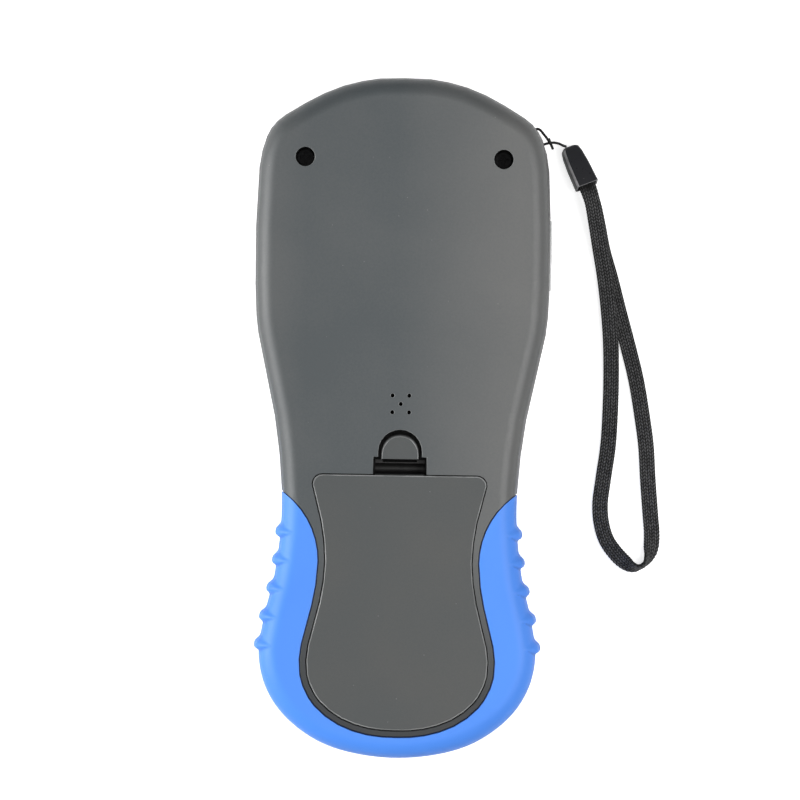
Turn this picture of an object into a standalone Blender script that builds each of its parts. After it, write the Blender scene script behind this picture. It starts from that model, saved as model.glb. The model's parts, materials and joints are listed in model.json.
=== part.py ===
"""Handheld land area meter lying on its front, with its wrist strap.

The row frame is in metres: X to the right seen from the back, Y towards the head, Z up out of the back.
The origin lies on the surface that the meter rests on, under the middle of its case.
"""

import math
from functools import partial

import bmesh
import bpy
from mathutils import Matrix, Quaternion, Vector

MM = 0.001
GAP = 0.3 * MM

# Case outline, seen from the back
BODY_LENGTH = 200 * MM
HEAD_END = BODY_LENGTH / 2
FOOT_END = -BODY_LENGTH / 2
HEAD_WIDTH = 86.8 * MM
WAIST_WIDTH = 69.2 * MM
FOOT_WIDTH = 81.4 * MM
CROWN_DEPTH = 22 * MM
NECK_START_DROP = 55 * MM
NECK_START_Y = HEAD_END - NECK_START_DROP
WAIST_RISE = 70 * MM
WAIST_Y = FOOT_END + WAIST_RISE
FOOT_RISE = 30 * MM
FOOT_Y = FOOT_END + FOOT_RISE

# Case section
BODY_DEPTH = 34 * MM
PARTING_HEIGHT = 15 * MM
WALL = 2.2 * MM
BACK_SHOULDER = 5 * MM
FRONT_SHOULDER = 3 * MM
SIDE_DRAFT = 0.7 * MM
FRONT_RIM = 3 * MM
PANEL_RECESS = 1.2 * MM
PANEL_THICKNESS = 2.4 * MM
LEAST_SHOULDER = 1 * MM
UPPER_HOLLOW_RISE = 86 * MM
UPPER_HOLLOW_Y = FOOT_END + UPPER_HOLLOW_RISE

# Rubber grip sleeve
SLEEVE_SIDE = 1.7 * MM
SLEEVE_FACE = 1.5 * MM
SLEEVE_HORN_RADIUS = 24.5 * MM
SLEEVE_TOP_RISE = 80.4 * MM
SLEEVE_TOP_Y = FOOT_END + SLEEVE_TOP_RISE
RIB_COUNT = 5
RIB_TOP_RISE = 66.6 * MM
RIB_TOP_Y = FOOT_END + RIB_TOP_RISE
RIB_PITCH = 8.3 * MM
RIB_RISE = 1.5 * MM
RIB_WIDTH = 4.4 * MM

# Battery door
DOOR_TOP_RISE = 83.2 * MM
DOOR_TOP_Y = FOOT_END + DOOR_TOP_RISE
DOOR_BOTTOM_RISE = 8.7 * MM
DOOR_BOTTOM_Y = FOOT_END + DOOR_BOTTOM_RISE
DOOR_SHOULDER_WIDTH = 50.8 * MM
DOOR_WAIST_WIDTH = 42.8 * MM
DOOR_FOOT_WIDTH = 53 * MM
DOOR_WAIST_RISE = 57.7 * MM
DOOR_WAIST_Y = FOOT_END + DOOR_WAIST_RISE
DOOR_FOOT_RISE = 28.1 * MM
DOOR_FOOT_Y = FOOT_END + DOOR_FOOT_RISE
DOOR_CORNER = 2.8 * MM
DOOR_THICKNESS = 2.2 * MM
DOOR_RIM = 2.2 * MM
DOOR_LEDGE = 2 * MM
TAB_X = 8 * MM
TAB_WIDTH = 7 * MM
TAB_REACH = 2.2 * MM
TAB_THICKNESS = 1.2 * MM
TAB_ROOT = 4.2 * MM
TAB_SWING = 6.1 * MM
DOOR_EDGE = 0.3 * MM

# Latch and its pocket
ARCH_WIDTH = 12.8 * MM
ARCH_TOP_RISE = 13.4 * MM
ARCH_TOP_Y = DOOR_TOP_Y + ARCH_TOP_RISE
SLOT_WIDTH = 15.6 * MM
SLOT_TOP_RISE = 5.4 * MM
SLOT_TOP_Y = DOOR_TOP_Y + SLOT_TOP_RISE
POCKET_DEPTH = 10 * MM
POCKET_WALL = 1.5 * MM
PAD_WIDTH = 10.5 * MM
PAD_TOP_DROP = 2.1 * MM
PAD_TOP_Y = ARCH_TOP_Y - PAD_TOP_DROP
PAD_BOTTOM_DROP = 0.6 * MM
PAD_BOTTOM_Y = SLOT_TOP_Y - PAD_BOTTOM_DROP
PAD_THICKNESS = 2.2 * MM
PAD_DROP = 0.4 * MM
PAD_SLOPE = 0.9 * MM
NOSE_DEPTH = 0.8 * MM
NOSE_SPACE = 1 * MM
SLOT_UNDERCUT = 1.8 * MM
SPRING_WIDTH = 14.4 * MM
SPRING_THICKNESS = 1 * MM
SPRING_DEPTH = 9.1 * MM
SPRING_TOP_DROP = 0.8 * MM
SPRING_TOP_Y = SLOT_TOP_Y - SPRING_TOP_DROP
SPRING_TIP_DEPTH = 6 * MM

# Sound holes and buzzer
SOUND_RISE = 7.55 * MM
SOUND_Y = ARCH_TOP_Y + SOUND_RISE
SOUND_PITCH = 4.9 * MM
SOUND_RADIUS = 0.58 * MM
BUZZER_RADIUS = 5 * MM
BUZZER_HEIGHT = 4 * MM
BUZZER_RING = 1 * MM

# Case screws
SCREW_WELL_RADIUS = 2.85 * MM
SCREW_HEAD_RADIUS = 2.5 * MM
SCREW_HEAD_HEIGHT = 2 * MM
SCREW_SHANK_RADIUS = 1.1 * MM
SCREW_LENGTH = 12 * MM
BOSS_WALL = 1.5 * MM
BOSS_FLOOR = 2 * MM
SCREW_CROSS = 1.5 * MM
HEAD_SCREW_INSET = 14.35 * MM
HEAD_SCREW_DROP = 23.9 * MM
HEAD_SCREW = (HEAD_WIDTH / 2 - HEAD_SCREW_INSET, HEAD_END - HEAD_SCREW_DROP)

# Keys
KEY_PROUD = 0.7 * MM
KEY_EDGE = 0.5 * MM
PILL_ROUNDING = 0.45
KEY_FLANGE = 0.65 * MM
KEY_FLANGE_THICKNESS = 0.8 * MM
PAD_CENTRE_RISE = 78 * MM
PAD_CENTRE_Y = FOOT_END + PAD_CENTRE_RISE
OK_RADIUS = 6.8 * MM
ARROW_INNER = 8.4 * MM
ARROW_OUTER = 16.4 * MM
ARROW_SPACE = 1.7 * MM
SIDE_KEY = (12.5 * MM, 7 * MM)
SIDE_KEY_X = 14 * MM
SIDE_KEY_SPACE = 26 * MM
UPPER_KEYS = (SIDE_KEY_X, PAD_CENTRE_Y + SIDE_KEY_SPACE)
LOWER_KEYS = (SIDE_KEY_X, PAD_CENTRE_Y - SIDE_KEY_SPACE)
POWER_KEY_RADIUS = 5 * MM
POWER_KEY_DROP = 38 * MM
POWER_KEY_Y = PAD_CENTRE_Y - POWER_KEY_DROP

# Display
LENS_MARGIN = 12.4 * MM
LENS_WIDTH = HEAD_WIDTH - 2 * LENS_MARGIN
LENS_BOTTOM_RISE = 11 * MM
LENS_BOTTOM_Y = UPPER_KEYS[1] + LENS_BOTTOM_RISE
LENS_TOP_DROP = 35 * MM
LENS_TOP_Y = HEAD_END - LENS_TOP_DROP
LENS_THICKNESS = 1.2 * MM
LENS_CORNER = 4 * MM
LENS_SEAT = 3 * MM
MODULE_INSET = 0.5 * MM
MODULE_CORNER = 1 * MM

# Main board and what it carries
BOARD_HEIGHT = 7.9 * MM
BOARD_THICKNESS = 1.6 * MM
BOARD_INSET = 6.2 * MM
UPPER_POST_RISE = 4 * MM
UPPER_POST_Y = UPPER_KEYS[1] + UPPER_POST_RISE
UPPER_POST_INSET = 5.7 * MM
LOWER_POST_DROP = 6 * MM
LOWER_POST_Y = LOWER_KEYS[1] - LOWER_POST_DROP
POST_WALL = 1.4 * MM
POST_SPACE = 1.5 * MM
BOARD_SCREW_RADIUS = 0.9 * MM
BOARD_SCREW_HEAD = 2 * MM
BOARD_SCREW_LENGTH = 5 * MM
ANTENNA_SIDE = 25 * MM
ANTENNA_DROP = 19 * MM
ANTENNA_Y = HEAD_END - ANTENNA_DROP
ANTENNA_CORNER = 1 * MM
MAT_THICKNESS = 1.8 * MM
MAT_WIDTH = 45 * MM
MAT_CORNER = 3 * MM
MAT_TOP_RISE = 7 * MM
MAT_TOP_Y = UPPER_KEYS[1] + MAT_TOP_RISE
MAT_BOTTOM_DROP = 7 * MM
MAT_BOTTOM_Y = POWER_KEY_Y - MAT_BOTTOM_DROP

# Side port and its cover
PORT_DROP = 51.7 * MM
PORT_Y = HEAD_END - PORT_DROP
PORT_LENGTH = 21.4 * MM
PORT_LOW = 6.5 * MM
PORT_HIGH = 17.5 * MM
PORT_DEPTH = 1.1 * MM
PORT_WINDOW = 9.6 * MM
PORT_SILL = 9 * MM
COVER_PROUD = 0.4 * MM
SOCKET = (8.6 * MM, 7.7 * MM, 3.9 * MM)
SOCKET_SKIN = 0.4 * MM

# Lanyard pillar
PILLAR_DROP = 16.9 * MM
PILLAR_Y = HEAD_END - PILLAR_DROP
PILLAR_RADIUS = 1.2 * MM
PILLAR_INSET = 1.5 * MM
CHANNEL_RADIUS = 4.3 * MM
CHANNEL_LOW = 9.2 * MM
CHANNEL_HIGH = 12.8 * MM
LINING_WALL = 1.2 * MM

# Battery cells, size AA
CELL_RADIUS = 7.1 * MM
CELL_LENGTH = 49 * MM
CELL_NUB = (2.7 * MM, 1.4 * MM)
CELL_X = 7.5 * MM
BAY_HALF_WIDTH = 15.2 * MM
BAY_TOP_RISE = 75.5 * MM
BAY_TOP_Y = FOOT_END + BAY_TOP_RISE
BAY_BOTTOM_RISE = 17 * MM
BAY_BOTTOM_Y = FOOT_END + BAY_BOTTOM_RISE
BAY_WALL = 1.5 * MM
FOOT_SCREW_SPACE = 5.4 * MM
FOOT_SCREW_RISE = 28 * MM
FOOT_SCREW = (BAY_HALF_WIDTH + FOOT_SCREW_SPACE, FOOT_END + FOOT_SCREW_RISE)
CONTACT_THICKNESS = 0.5 * MM
CONTACT_WIRE = 0.45 * MM
CONTACT_TURNS = 3
CONTACT_MARGIN = 1 * MM
CONTACT_TIP_RADIUS = 2.6 * MM
CONTACT_BASE_RADIUS = 4.6 * MM

# Wrist strap
CORD_RADIUS = 0.43 * MM
BRAID_WIDTH = 5 * MM
BRAID_THICKNESS = 1.2 * MM
BRAID_LEAD = 1 * MM
CRIMP_LENGTH = 13 * MM
CRIMP_WALL = 0.65 * MM
CRIMP_ROUND = 0.9 * MM
CRIMP_ROOM = 4 * MM
CRIMP_PLACE = (51.2 * MM, 74.9 * MM, 5.2 * MM)
CRIMP_TURN = 25.5
CRIMP_PITCH = 16
CRIMP_ROLL = 14

# Steps that round shapes are drawn with
SMOOTH_STEPS = 6
CURVE_ERROR = 0.1 * MM
CORNER_STEPS = 5
HORN_STEPS = 9
SHOULDER_STEPS = 4
INNER_STEPS = 2
ARCH_STEPS = 12
ARROW_STEPS = 8
CORD_STEPS = 2
BRAID_STEPS = 2


def clear_scene():
    for item in list(bpy.data.objects):
        bpy.data.objects.remove(item)


def material(name, colour, roughness, metallic=0.0):
    made = bpy.data.materials.new(name)
    made.use_nodes = True
    surface = made.node_tree.nodes["Principled BSDF"]
    surface.inputs["Base Color"].default_value = (*colour, 1)
    surface.inputs["Roughness"].default_value = roughness
    surface.inputs["Metallic"].default_value = metallic
    return made


def add_object(name, mesh):
    item = bpy.data.objects.new(name, mesh)
    bpy.context.scene.collection.objects.link(item)
    return item


def mesh_object(name, form):
    bmesh.ops.recalc_face_normals(form, faces=form.faces)
    mesh = bpy.data.meshes.new(name)
    form.to_mesh(mesh)
    form.free()
    return add_object(name, mesh)


def loft(name, rings):
    """A closed solid through rings of equal point counts, with a flat cap at each end."""
    form = bmesh.new()
    rows = [[form.verts.new(point) for point in ring] for ring in rings]
    for lower, upper in zip(rows, rows[1:]):
        for i in range(len(lower)):
            j = (i + 1) % len(lower)
            form.faces.new((lower[i], lower[j], upper[j], upper[i]))
    form.faces.new(rows[0])
    form.faces.new(rows[-1])
    return mesh_object(name, form)


def level(outline, height):
    return [(x, y, height) for x, y in outline]


def prism(name, outline, low, high):
    return loft(name, [level(outline, low), level(outline, high)])


def circle(centre, radius, count=24):
    turns = [math.tau * i / count for i in range(count)]
    return [(centre[0] + radius * math.cos(a), centre[1] + radius * math.sin(a)) for a in turns]


def cylinder(name, centre, radius, low, high, count=24):
    return prism(name, circle(centre, radius, count), low, high)


def box(name, low, high):
    outline = [(low[0], low[1]), (high[0], low[1]), (high[0], high[1]), (low[0], high[1])]
    return prism(name, outline, low[2], high[2])


def rounded(centre, width, height, radius, steps=5):
    """A rectangle with round corners, anticlockwise."""
    points = []
    for k, (sx, sy) in enumerate(((1, 1), (-1, 1), (-1, -1), (1, -1))):
        x = centre[0] + sx * (width / 2 - radius)
        y = centre[1] + sy * (height / 2 - radius)
        for i in range(steps + 1):
            angle = math.pi / 2 * (k + i / steps)
            points.append((x + radius * math.cos(angle), y + radius * math.sin(angle)))
    return points


def combine(target, tool, operation):
    """Works the tool into the target and removes the tool."""
    change = target.modifiers.new("Combine", "BOOLEAN")
    change.operation = operation
    change.solver = "EXACT"
    change.object = tool
    graph = bpy.context.evaluated_depsgraph_get()
    result = bpy.data.meshes.new_from_object(target.evaluated_get(graph))
    target.modifiers.clear()
    target.data = result
    bpy.data.objects.remove(tool)


def cut(target, *tools):
    for tool in tools:
        combine(target, tool, "DIFFERENCE")


def join(target, *tools):
    for tool in tools:
        combine(target, tool, "UNION")


def keep_common(target, tool):
    combine(target, tool, "INTERSECT")


def set_origin(item, point):
    item.data.transform(Matrix.Translation(-Vector(point)))
    item.location = point


def finish(item, look):
    """Gives a piece its look, smooth where its faces meet at a small angle."""
    item.data.materials.clear()
    item.data.materials.append(look)
    item.data.shade_smooth()
    item.data.set_sharp_from_angle(angle=math.radians(35))
    return item


def curve_point(a, b, c, d, share):
    """A point between b and c on the centripetal Catmull-Rom curve through all four."""
    first = math.sqrt((b - a).length)
    second = first + math.sqrt((c - b).length)
    third = second + math.sqrt((d - c).length)
    t = first + (second - first) * share
    ab = a.lerp(b, t / first)
    bc = b.lerp(c, (t - first) / (second - first))
    cd = c.lerp(d, (t - second) / (third - second))
    abc = ab.lerp(bc, t / second)
    bcd = bc.lerp(cd, (t - first) / (third - first))
    return abc.lerp(bcd, (t - first) / (second - first))


def smooth(points, steps):
    """Points along a smooth curve through these points, which it starts and ends on."""
    points = [Vector(p) for p in points]
    run = [2 * points[0] - points[1], *points, 2 * points[-1] - points[-2]]
    made = []
    for a, b, c, d in zip(run, run[1:], run[2:], run[3:]):
        made += [curve_point(a, b, c, d, i / steps) for i in range(steps)]
    return [*made, points[-1]]


def thinned(points):
    """The points that keep the curve within CURVE_ERROR of straight lines from one to the next."""
    kept, start = [points[0]], 0
    for end in range(2, len(points)):
        along = (points[end] - points[start]).normalized()
        if any(abs(along.cross(p - points[start])) > CURVE_ERROR for p in points[start + 1 : end]):
            start = end - 1
            kept.append(points[start])
    return [*kept, points[-1]]


def mirrored(half):
    """A closed anticlockwise outline from its right half, which runs from the top to the middle line."""
    right = [(p[0], p[1]) for p in reversed(half)]
    left = [(-p[0], p[1]) for p in half[1:-1]]
    return [*right, *left]


def offset_run(run, distance):
    """The run's inner points moved to its right; its first and last points only give the direction there."""
    moved = []
    for before, point, after in zip(run, run[1:], run[2:]):
        before, point, after = Vector(before), Vector(point), Vector(after)
        along = ((point - before).normalized() + (after - point).normalized()).normalized()
        moved.append((point.x + along.y * distance, point.y - along.x * distance))
    return moved


def offset(outline, distance):
    """An anticlockwise outline moved outwards by distance, or inwards where it is negative."""
    return offset_run([outline[-1], *outline, outline[0]], distance)


# Shares that shape each stretch of the case's outline: across, then along
CROWN = ((0, 0), (0.21, 0.018), (0.46, 0.141), (0.714, 0.395), (0.887, 0.645), (0.965, 1))
NECK = ((0, 0), (0.09, 0.24), (0.386, 0.413), (0.727, 0.6), (0.955, 0.813), (1, 1))
THIGH = ((0.279, 0.4), (0.787, 0.7375), (1, 1))
HEEL = ((0.943, 0.333), (0.789, 0.627), (0.491, 0.887), (0, 1))
TEMPLE_SHARE = 0.995

# Shares that shape the battery door's side
DOOR_NECK = ((0, 0), (0.1, 0.08), (0.55, 0.367), (0.875, 0.677), (1, 1))
DOOR_HIP = ((0.157, 0.294), (0.549, 0.598), (0.902, 0.834), (1, 1))
DOOR_HEEL = ((0.974, 0.263), (0.849, 0.572), (0.604, 0.83), (0.302, 0.969), (0, 1))


def stretch(shares, start, end):
    """Points between two corners, by their shares across and along."""
    return [(start[0] + (end[0] - start[0]) * x, start[1] + (end[1] - start[1]) * y) for x, y in shares]


def body_outline():
    crown_y = HEAD_END - CROWN_DEPTH
    head, waist, foot = HEAD_WIDTH / 2, (WAIST_WIDTH / 2, WAIST_Y), (FOOT_WIDTH / 2, FOOT_Y)
    half = stretch(CROWN, (0, HEAD_END), (head, crown_y))
    half.append((head * TEMPLE_SHARE, (NECK_START_Y + crown_y) / 2))
    half += stretch(NECK, (head, NECK_START_Y), waist)
    half += stretch(THIGH, waist, foot)
    half += stretch(HEEL, (0, FOOT_Y), (foot[0], FOOT_END))
    before, after = (-half[1][0], half[1][1]), (-half[-2][0], half[-2][1])
    run = smooth([before, *half, after], SMOOTH_STEPS)[SMOOTH_STEPS:-SMOOTH_STEPS]
    return mirrored(thinned(run))


def half_width(y):
    """The case's half width at y."""
    right = sorted((p[1], p[0]) for p in body_outline() if p[0] >= 0)
    for (low, first), (high, second) in zip(right, right[1:]):
        if low <= y <= high:
            return first + (second - first) * (y - low) / (high - low)
    return 0.0


def door_hip():
    """The door's right side below its waist, down to the middle of its foot."""
    waist, foot = (DOOR_WAIST_WIDTH / 2, DOOR_WAIST_Y), (DOOR_FOOT_WIDTH / 2, DOOR_FOOT_Y)
    return stretch(DOOR_HIP, waist, foot) + stretch(DOOR_HEEL, (0, DOOR_FOOT_Y), (foot[0], DOOR_BOTTOM_Y))


def door_outline():
    shoulder = (DOOR_SHOULDER_WIDTH / 2, DOOR_TOP_Y - DOOR_CORNER)
    side = stretch(DOOR_NECK, shoulder, (DOOR_WAIST_WIDTH / 2, DOOR_WAIST_Y)) + door_hip()
    run = thinned(smooth([*side, (-side[-2][0], side[-2][1])], SMOOTH_STEPS)[:-SMOOTH_STEPS])
    corner = [(0, DOOR_TOP_Y)]
    for i in range(CORNER_STEPS):
        angle = math.pi / 2 * (1 - i / CORNER_STEPS)
        x = shoulder[0] - DOOR_CORNER + DOOR_CORNER * math.cos(angle)
        corner.append((x, shoulder[1] + DOOR_CORNER * math.sin(angle)))
    return mirrored([*corner, *run])


def sleeve_edge(inset):
    """The right half of the sleeve's edge on the faces, from the case's side to the middle of its foot."""
    waist = (DOOR_WAIST_WIDTH / 2, DOOR_WAIST_Y)
    hip = door_hip()
    above, beyond = (waist[0], 2 * waist[1] - hip[0][1]), (-hip[-2][0], hip[-2][1])
    run = thinned(smooth([above, waist, *hip, beyond], SMOOTH_STEPS)[SMOOTH_STEPS:-SMOOTH_STEPS])
    run = [above, *run, (-run[-2][0], run[-2][1])]
    centre_x = waist[0] + DOOR_RIM + SLEEVE_HORN_RADIUS
    radius = SLEEVE_HORN_RADIUS + inset
    sweep = math.asin((SLEEVE_TOP_Y + inset - waist[1]) / radius)
    horn = []
    for i in range(HORN_STEPS):
        angle = math.pi - sweep * (1 - i / HORN_STEPS)
        horn.append((centre_x + radius * math.cos(angle), waist[1] + radius * math.sin(angle)))
    return [*horn, *offset_run(run, inset - DOOR_RIM)]


def sleeve_region(name, inset):
    """A tall block of all that lies outside the sleeve's edge."""
    half = sleeve_edge(inset)
    far = BODY_LENGTH
    left = [(-x, y) for x, y in reversed(half[:-1])]
    ends = [(-far, half[0][1]), (-far, -far), (far, -far), (far, half[0][1])]
    return prism(name, [*half, *left, *ends], -far, far)


def section(inset, low, high):
    """(height, depth inside the outline) from the front of the case up to its back."""
    front = max(FRONT_SHOULDER - inset, LEAST_SHOULDER)
    back = max(BACK_SHOULDER - inset, LEAST_SHOULDER)
    depth = inset + SIDE_DRAFT
    steps = INNER_STEPS if inset > GAP else SHOULDER_STEPS
    turns = [math.pi / 2 * i / steps for i in range(steps + 1)]
    rows = [(low + front * (1 - math.cos(a)), depth + front * (1 - math.sin(a))) for a in turns]
    rows.append((PARTING_HEIGHT, inset))
    rows += [(high - back * (1 - math.sin(a)), depth + back * (1 - math.cos(a))) for a in turns]
    return rows


def case_form(name, inset, low, high):
    outline = body_outline()
    rings = [level(offset(outline, -depth), height) for height, depth in section(inset, low, high)]
    return loft(name, rings)


def below(name, height):
    far = BODY_LENGTH
    return box(name, (-far, -far, -far), (far, far, height))


def above_block(name, height):
    far = BODY_LENGTH
    return box(name, (-far, -far, height), (far, far, far))


def side_prism(name, profile, low_x, high_x):
    """A profile in the YZ plane, extruded along X."""
    return loft(name, [[(x, y, z) for y, z in profile] for x in (low_x, high_x)])


def arch(half, top_y, bottom_y):
    """A round-topped outline, as wide all the way down."""
    turns = [math.pi * i / ARCH_STEPS for i in range(ARCH_STEPS + 1)]
    curve = [(half * math.cos(a), top_y - half + half * math.sin(a)) for a in turns]
    return [(half, bottom_y), *curve, (-half, bottom_y)]


def ring_at(outline_maker, *stations):
    """Rings of one outline, each at (height, growth)."""
    return [level(outline_maker(grow), height) for height, grow in stations]


def panel_inside():
    """Height of the front panel's inner face."""
    return PANEL_RECESS + PANEL_THICKNESS


def cavity_tools():
    """The hollow of both shells: all of it inside the sleeve's seat, and wider above the sleeve."""
    seat = SLEEVE_SIDE + GAP + WALL
    ceiling = BODY_DEPTH - DOOR_THICKNESS - GAP - DOOR_LEDGE
    narrow = case_form("Narrow hollow", seat, panel_inside(), ceiling)
    wide = case_form("Wide hollow", WALL, panel_inside(), BODY_DEPTH - WALL)
    far = BODY_LENGTH
    keep_common(wide, box("Upper half", (-far, UPPER_HOLLOW_Y, -far), (far, far, far)))
    return narrow, wide


def sleeve_seat():
    """What the shells give up so that the sleeve lies flush with them."""
    face = SLEEVE_FACE + GAP
    seat = sleeve_region("Sleeve seat", GAP)
    cut(seat, case_form("Inside the seat", SLEEVE_SIDE + GAP, face, BODY_DEPTH - face))
    return seat


def port_recess():
    floor_x = half_width(PORT_Y) - PORT_DEPTH
    y = PORT_LENGTH / 2
    return box("Port recess", (floor_x, PORT_Y - y, PORT_LOW), (BODY_LENGTH, PORT_Y + y, PORT_HIGH))


def both_sides(place):
    return [(side * place[0], place[1]) for side in (-1, 1)]


def screw_places():
    """Each case screw's name and place."""
    places = {}
    for zone, place in (("head", HEAD_SCREW), ("foot", FOOT_SCREW)):
        for side, spot in zip(("left", "right"), both_sides(place)):
            places[f"{zone}_screw_{side}"] = spot
    return places


def add_screw_wells(shell):
    low = PARTING_HEIGHT + GAP / 2
    for x, y in screw_places().values():
        ceiling = BODY_DEPTH - WALL / 2 if y > 0 else BODY_DEPTH - DOOR_THICKNESS - GAP - DOOR_LEDGE / 2
        join(shell, cylinder("Well", (x, y), SCREW_WELL_RADIUS + BOSS_WALL, low, ceiling, 20))
    for place in screw_places().values():
        hole = SCREW_SHANK_RADIUS + GAP
        cut(shell, cylinder("Well bore", place, SCREW_WELL_RADIUS, low + BOSS_FLOOR, BODY_LENGTH, 20))
        cut(shell, cylinder("Shank hole", place, hole, 0, BODY_DEPTH, 12))


def add_tabs_room(shell):
    """Slots under the rim for the door's foot tabs, long enough to let the tabs swing."""
    ceiling = BODY_DEPTH - DOOR_THICKNESS
    for x, _ in both_sides((TAB_X, 0)):
        half = TAB_WIDTH / 2 + GAP
        low = (x - half, DOOR_BOTTOM_Y - TAB_REACH - 2 * GAP, BODY_DEPTH / 2)
        high = (x + half, DOOR_BOTTOM_Y + TAB_SWING, ceiling)
        cut(shell, box("Tab room", low, high))


def rear_shell():
    shell = case_form("rear_shell", 0, 0, BODY_DEPTH)
    cut(shell, below("Front half", PARTING_HEIGHT + GAP / 2), *cavity_tools())
    floor = BODY_DEPTH - POCKET_DEPTH
    wall = POCKET_WALL
    half = SLOT_WIDTH / 2
    slot_bottom = DOOR_TOP_Y - SLOT_UNDERCUT
    bay_floor = PARTING_HEIGHT - GAP
    tub = box(
        "Latch tub",
        (-half - wall, slot_bottom - wall, floor - wall),
        (half + wall, ARCH_TOP_Y + wall, BODY_DEPTH - WALL / 2),
    )
    bay = box(
        "Bay tub",
        (-BAY_HALF_WIDTH - BAY_WALL, BAY_BOTTOM_Y - BAY_WALL, bay_floor),
        (BAY_HALF_WIDTH + BAY_WALL, BAY_TOP_Y + BAY_WALL, BODY_DEPTH - DOOR_THICKNESS - DOOR_LEDGE / 2),
    )
    ring_low = BODY_DEPTH - WALL - GAP - BUZZER_HEIGHT
    ring = cylinder(
        "Buzzer ring", (0, SOUND_Y), BUZZER_RADIUS + GAP + BUZZER_RING, ring_low, BODY_DEPTH - WALL / 2, 28
    )
    join(shell, tub, bay, ring)
    cut(shell, cylinder("Buzzer room", (0, SOUND_Y), BUZZER_RADIUS + GAP, 0, BODY_DEPTH - WALL, 28))
    add_screw_wells(shell)
    cut(
        shell,
        sleeve_seat(),
        prism("Door well", offset(door_outline(), GAP), BODY_DEPTH - DOOR_THICKNESS - GAP, BODY_LENGTH),
        box(
            "Bay hollow",
            (-BAY_HALF_WIDTH, BAY_BOTTOM_Y, bay_floor + BAY_WALL),
            (BAY_HALF_WIDTH, BAY_TOP_Y, BODY_LENGTH),
        ),
        prism("Finger arch", arch(ARCH_WIDTH / 2, ARCH_TOP_Y, SLOT_TOP_Y - wall), floor, BODY_LENGTH),
        box("Slot", (-half, slot_bottom, floor), (half, SLOT_TOP_Y, BODY_LENGTH)),
        port_recess(),
    )
    add_tabs_room(shell)
    for x, y in ((0, 0), (1, 1), (-1, 1), (-1, -1), (1, -1)):
        place = (x * SOUND_PITCH / 2, SOUND_Y + y * SOUND_PITCH / 2)
        cut(shell, cylinder("Sound hole", place, SOUND_RADIUS, BODY_DEPTH / 2, BODY_LENGTH, 10))
    return shell


def lens_outline(grow):
    centre = (0, (LENS_TOP_Y + LENS_BOTTOM_Y) / 2)
    height = LENS_TOP_Y - LENS_BOTTOM_Y
    return rounded(centre, LENS_WIDTH + 2 * grow, height + 2 * grow, LENS_CORNER + grow)


def round_key(centre, radius, grow):
    return circle(centre, radius + grow, 24)


def pill_key(centre, size, grow):
    width, height = size[0] + 2 * grow, size[1] + 2 * grow
    return rounded(centre, width, height, height * PILL_ROUNDING, 4)


def arrow_key(turn, grow):
    """A quarter of a ring, with parallel gaps to its neighbours."""
    inner, outer = ARROW_INNER - grow, ARROW_OUTER + grow
    space = ARROW_SPACE - 2 * grow
    points = []
    for radius, way in ((outer, 1), (inner, -1)):
        half = math.pi / 4 - math.asin(space / 2 / radius)
        for i in range(ARROW_STEPS + 1):
            angle = math.radians(turn) + way * half * (2 * i / ARROW_STEPS - 1)
            points.append((radius * math.cos(angle), PAD_CENTRE_Y + radius * math.sin(angle)))
    return points


def key_shapes():
    """Each key's name, its centre and the function that draws its outline, grown by a margin."""
    pad = (0, PAD_CENTRE_Y)
    shapes = {"key_ok": (pad, partial(round_key, pad, OK_RADIUS))}
    middle = (ARROW_INNER + ARROW_OUTER) / 2
    for name, turn in (("key_right", 0), ("key_up", 90), ("key_left", 180), ("key_down", 270)):
        angle = math.radians(turn)
        centre = (middle * math.cos(angle), PAD_CENTRE_Y + middle * math.sin(angle))
        shapes[name] = (centre, partial(arrow_key, turn))
    for zone, place in (("upper", UPPER_KEYS), ("lower", LOWER_KEYS)):
        for side, spot in zip(("left", "right"), both_sides(place)):
            shapes[f"key_{zone}_{side}"] = (spot, partial(pill_key, spot, SIDE_KEY))
    power = (0, POWER_KEY_Y)
    shapes["key_power"] = (power, partial(round_key, power, POWER_KEY_RADIUS))
    return shapes


def board_posts():
    """Places of the board's posts on the right: the upper near the wall, the lower beside the key mat."""
    upper_x = half_width(UPPER_POST_Y) - UPPER_POST_INSET
    lower_x = MAT_WIDTH / 2 + POST_SPACE + POST_WALL + GAP + BOARD_SCREW_RADIUS
    return (upper_x, UPPER_POST_Y), (lower_x, LOWER_POST_Y)


def pillar_place():
    """Centre of the lanyard pillar, inside the case's outline."""
    x = half_width(PILLAR_Y)
    slope = Vector((half_width(PILLAR_Y - MM) - half_width(PILLAR_Y + MM), -2 * MM)).normalized()
    return x + slope.y * PILLAR_INSET, PILLAR_Y - slope.x * PILLAR_INSET


def add_posts(shell):
    """Posts for the case screws and the board screws, each with its pilot hole."""
    root = panel_inside() - PANEL_THICKNESS / 4
    posts = []
    for place in screw_places().values():
        bottom = PARTING_HEIGHT - SCREW_LENGTH + BOSS_FLOOR
        posts.append((place, SCREW_SHANK_RADIUS + GAP, bottom, PARTING_HEIGHT - GAP / 2))
    for pair in board_posts():
        for place in both_sides(pair):
            bottom = BOARD_HEIGHT + BOARD_THICKNESS - BOARD_SCREW_LENGTH - GAP
            posts.append((place, BOARD_SCREW_RADIUS + GAP, bottom, BOARD_HEIGHT - GAP))
    for place, bore, bottom, top in posts:
        join(shell, cylinder("Post", place, bore + POST_WALL, root, top, 16))
        cut(shell, cylinder("Pilot", place, bore, bottom, BODY_DEPTH, 12))


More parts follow.
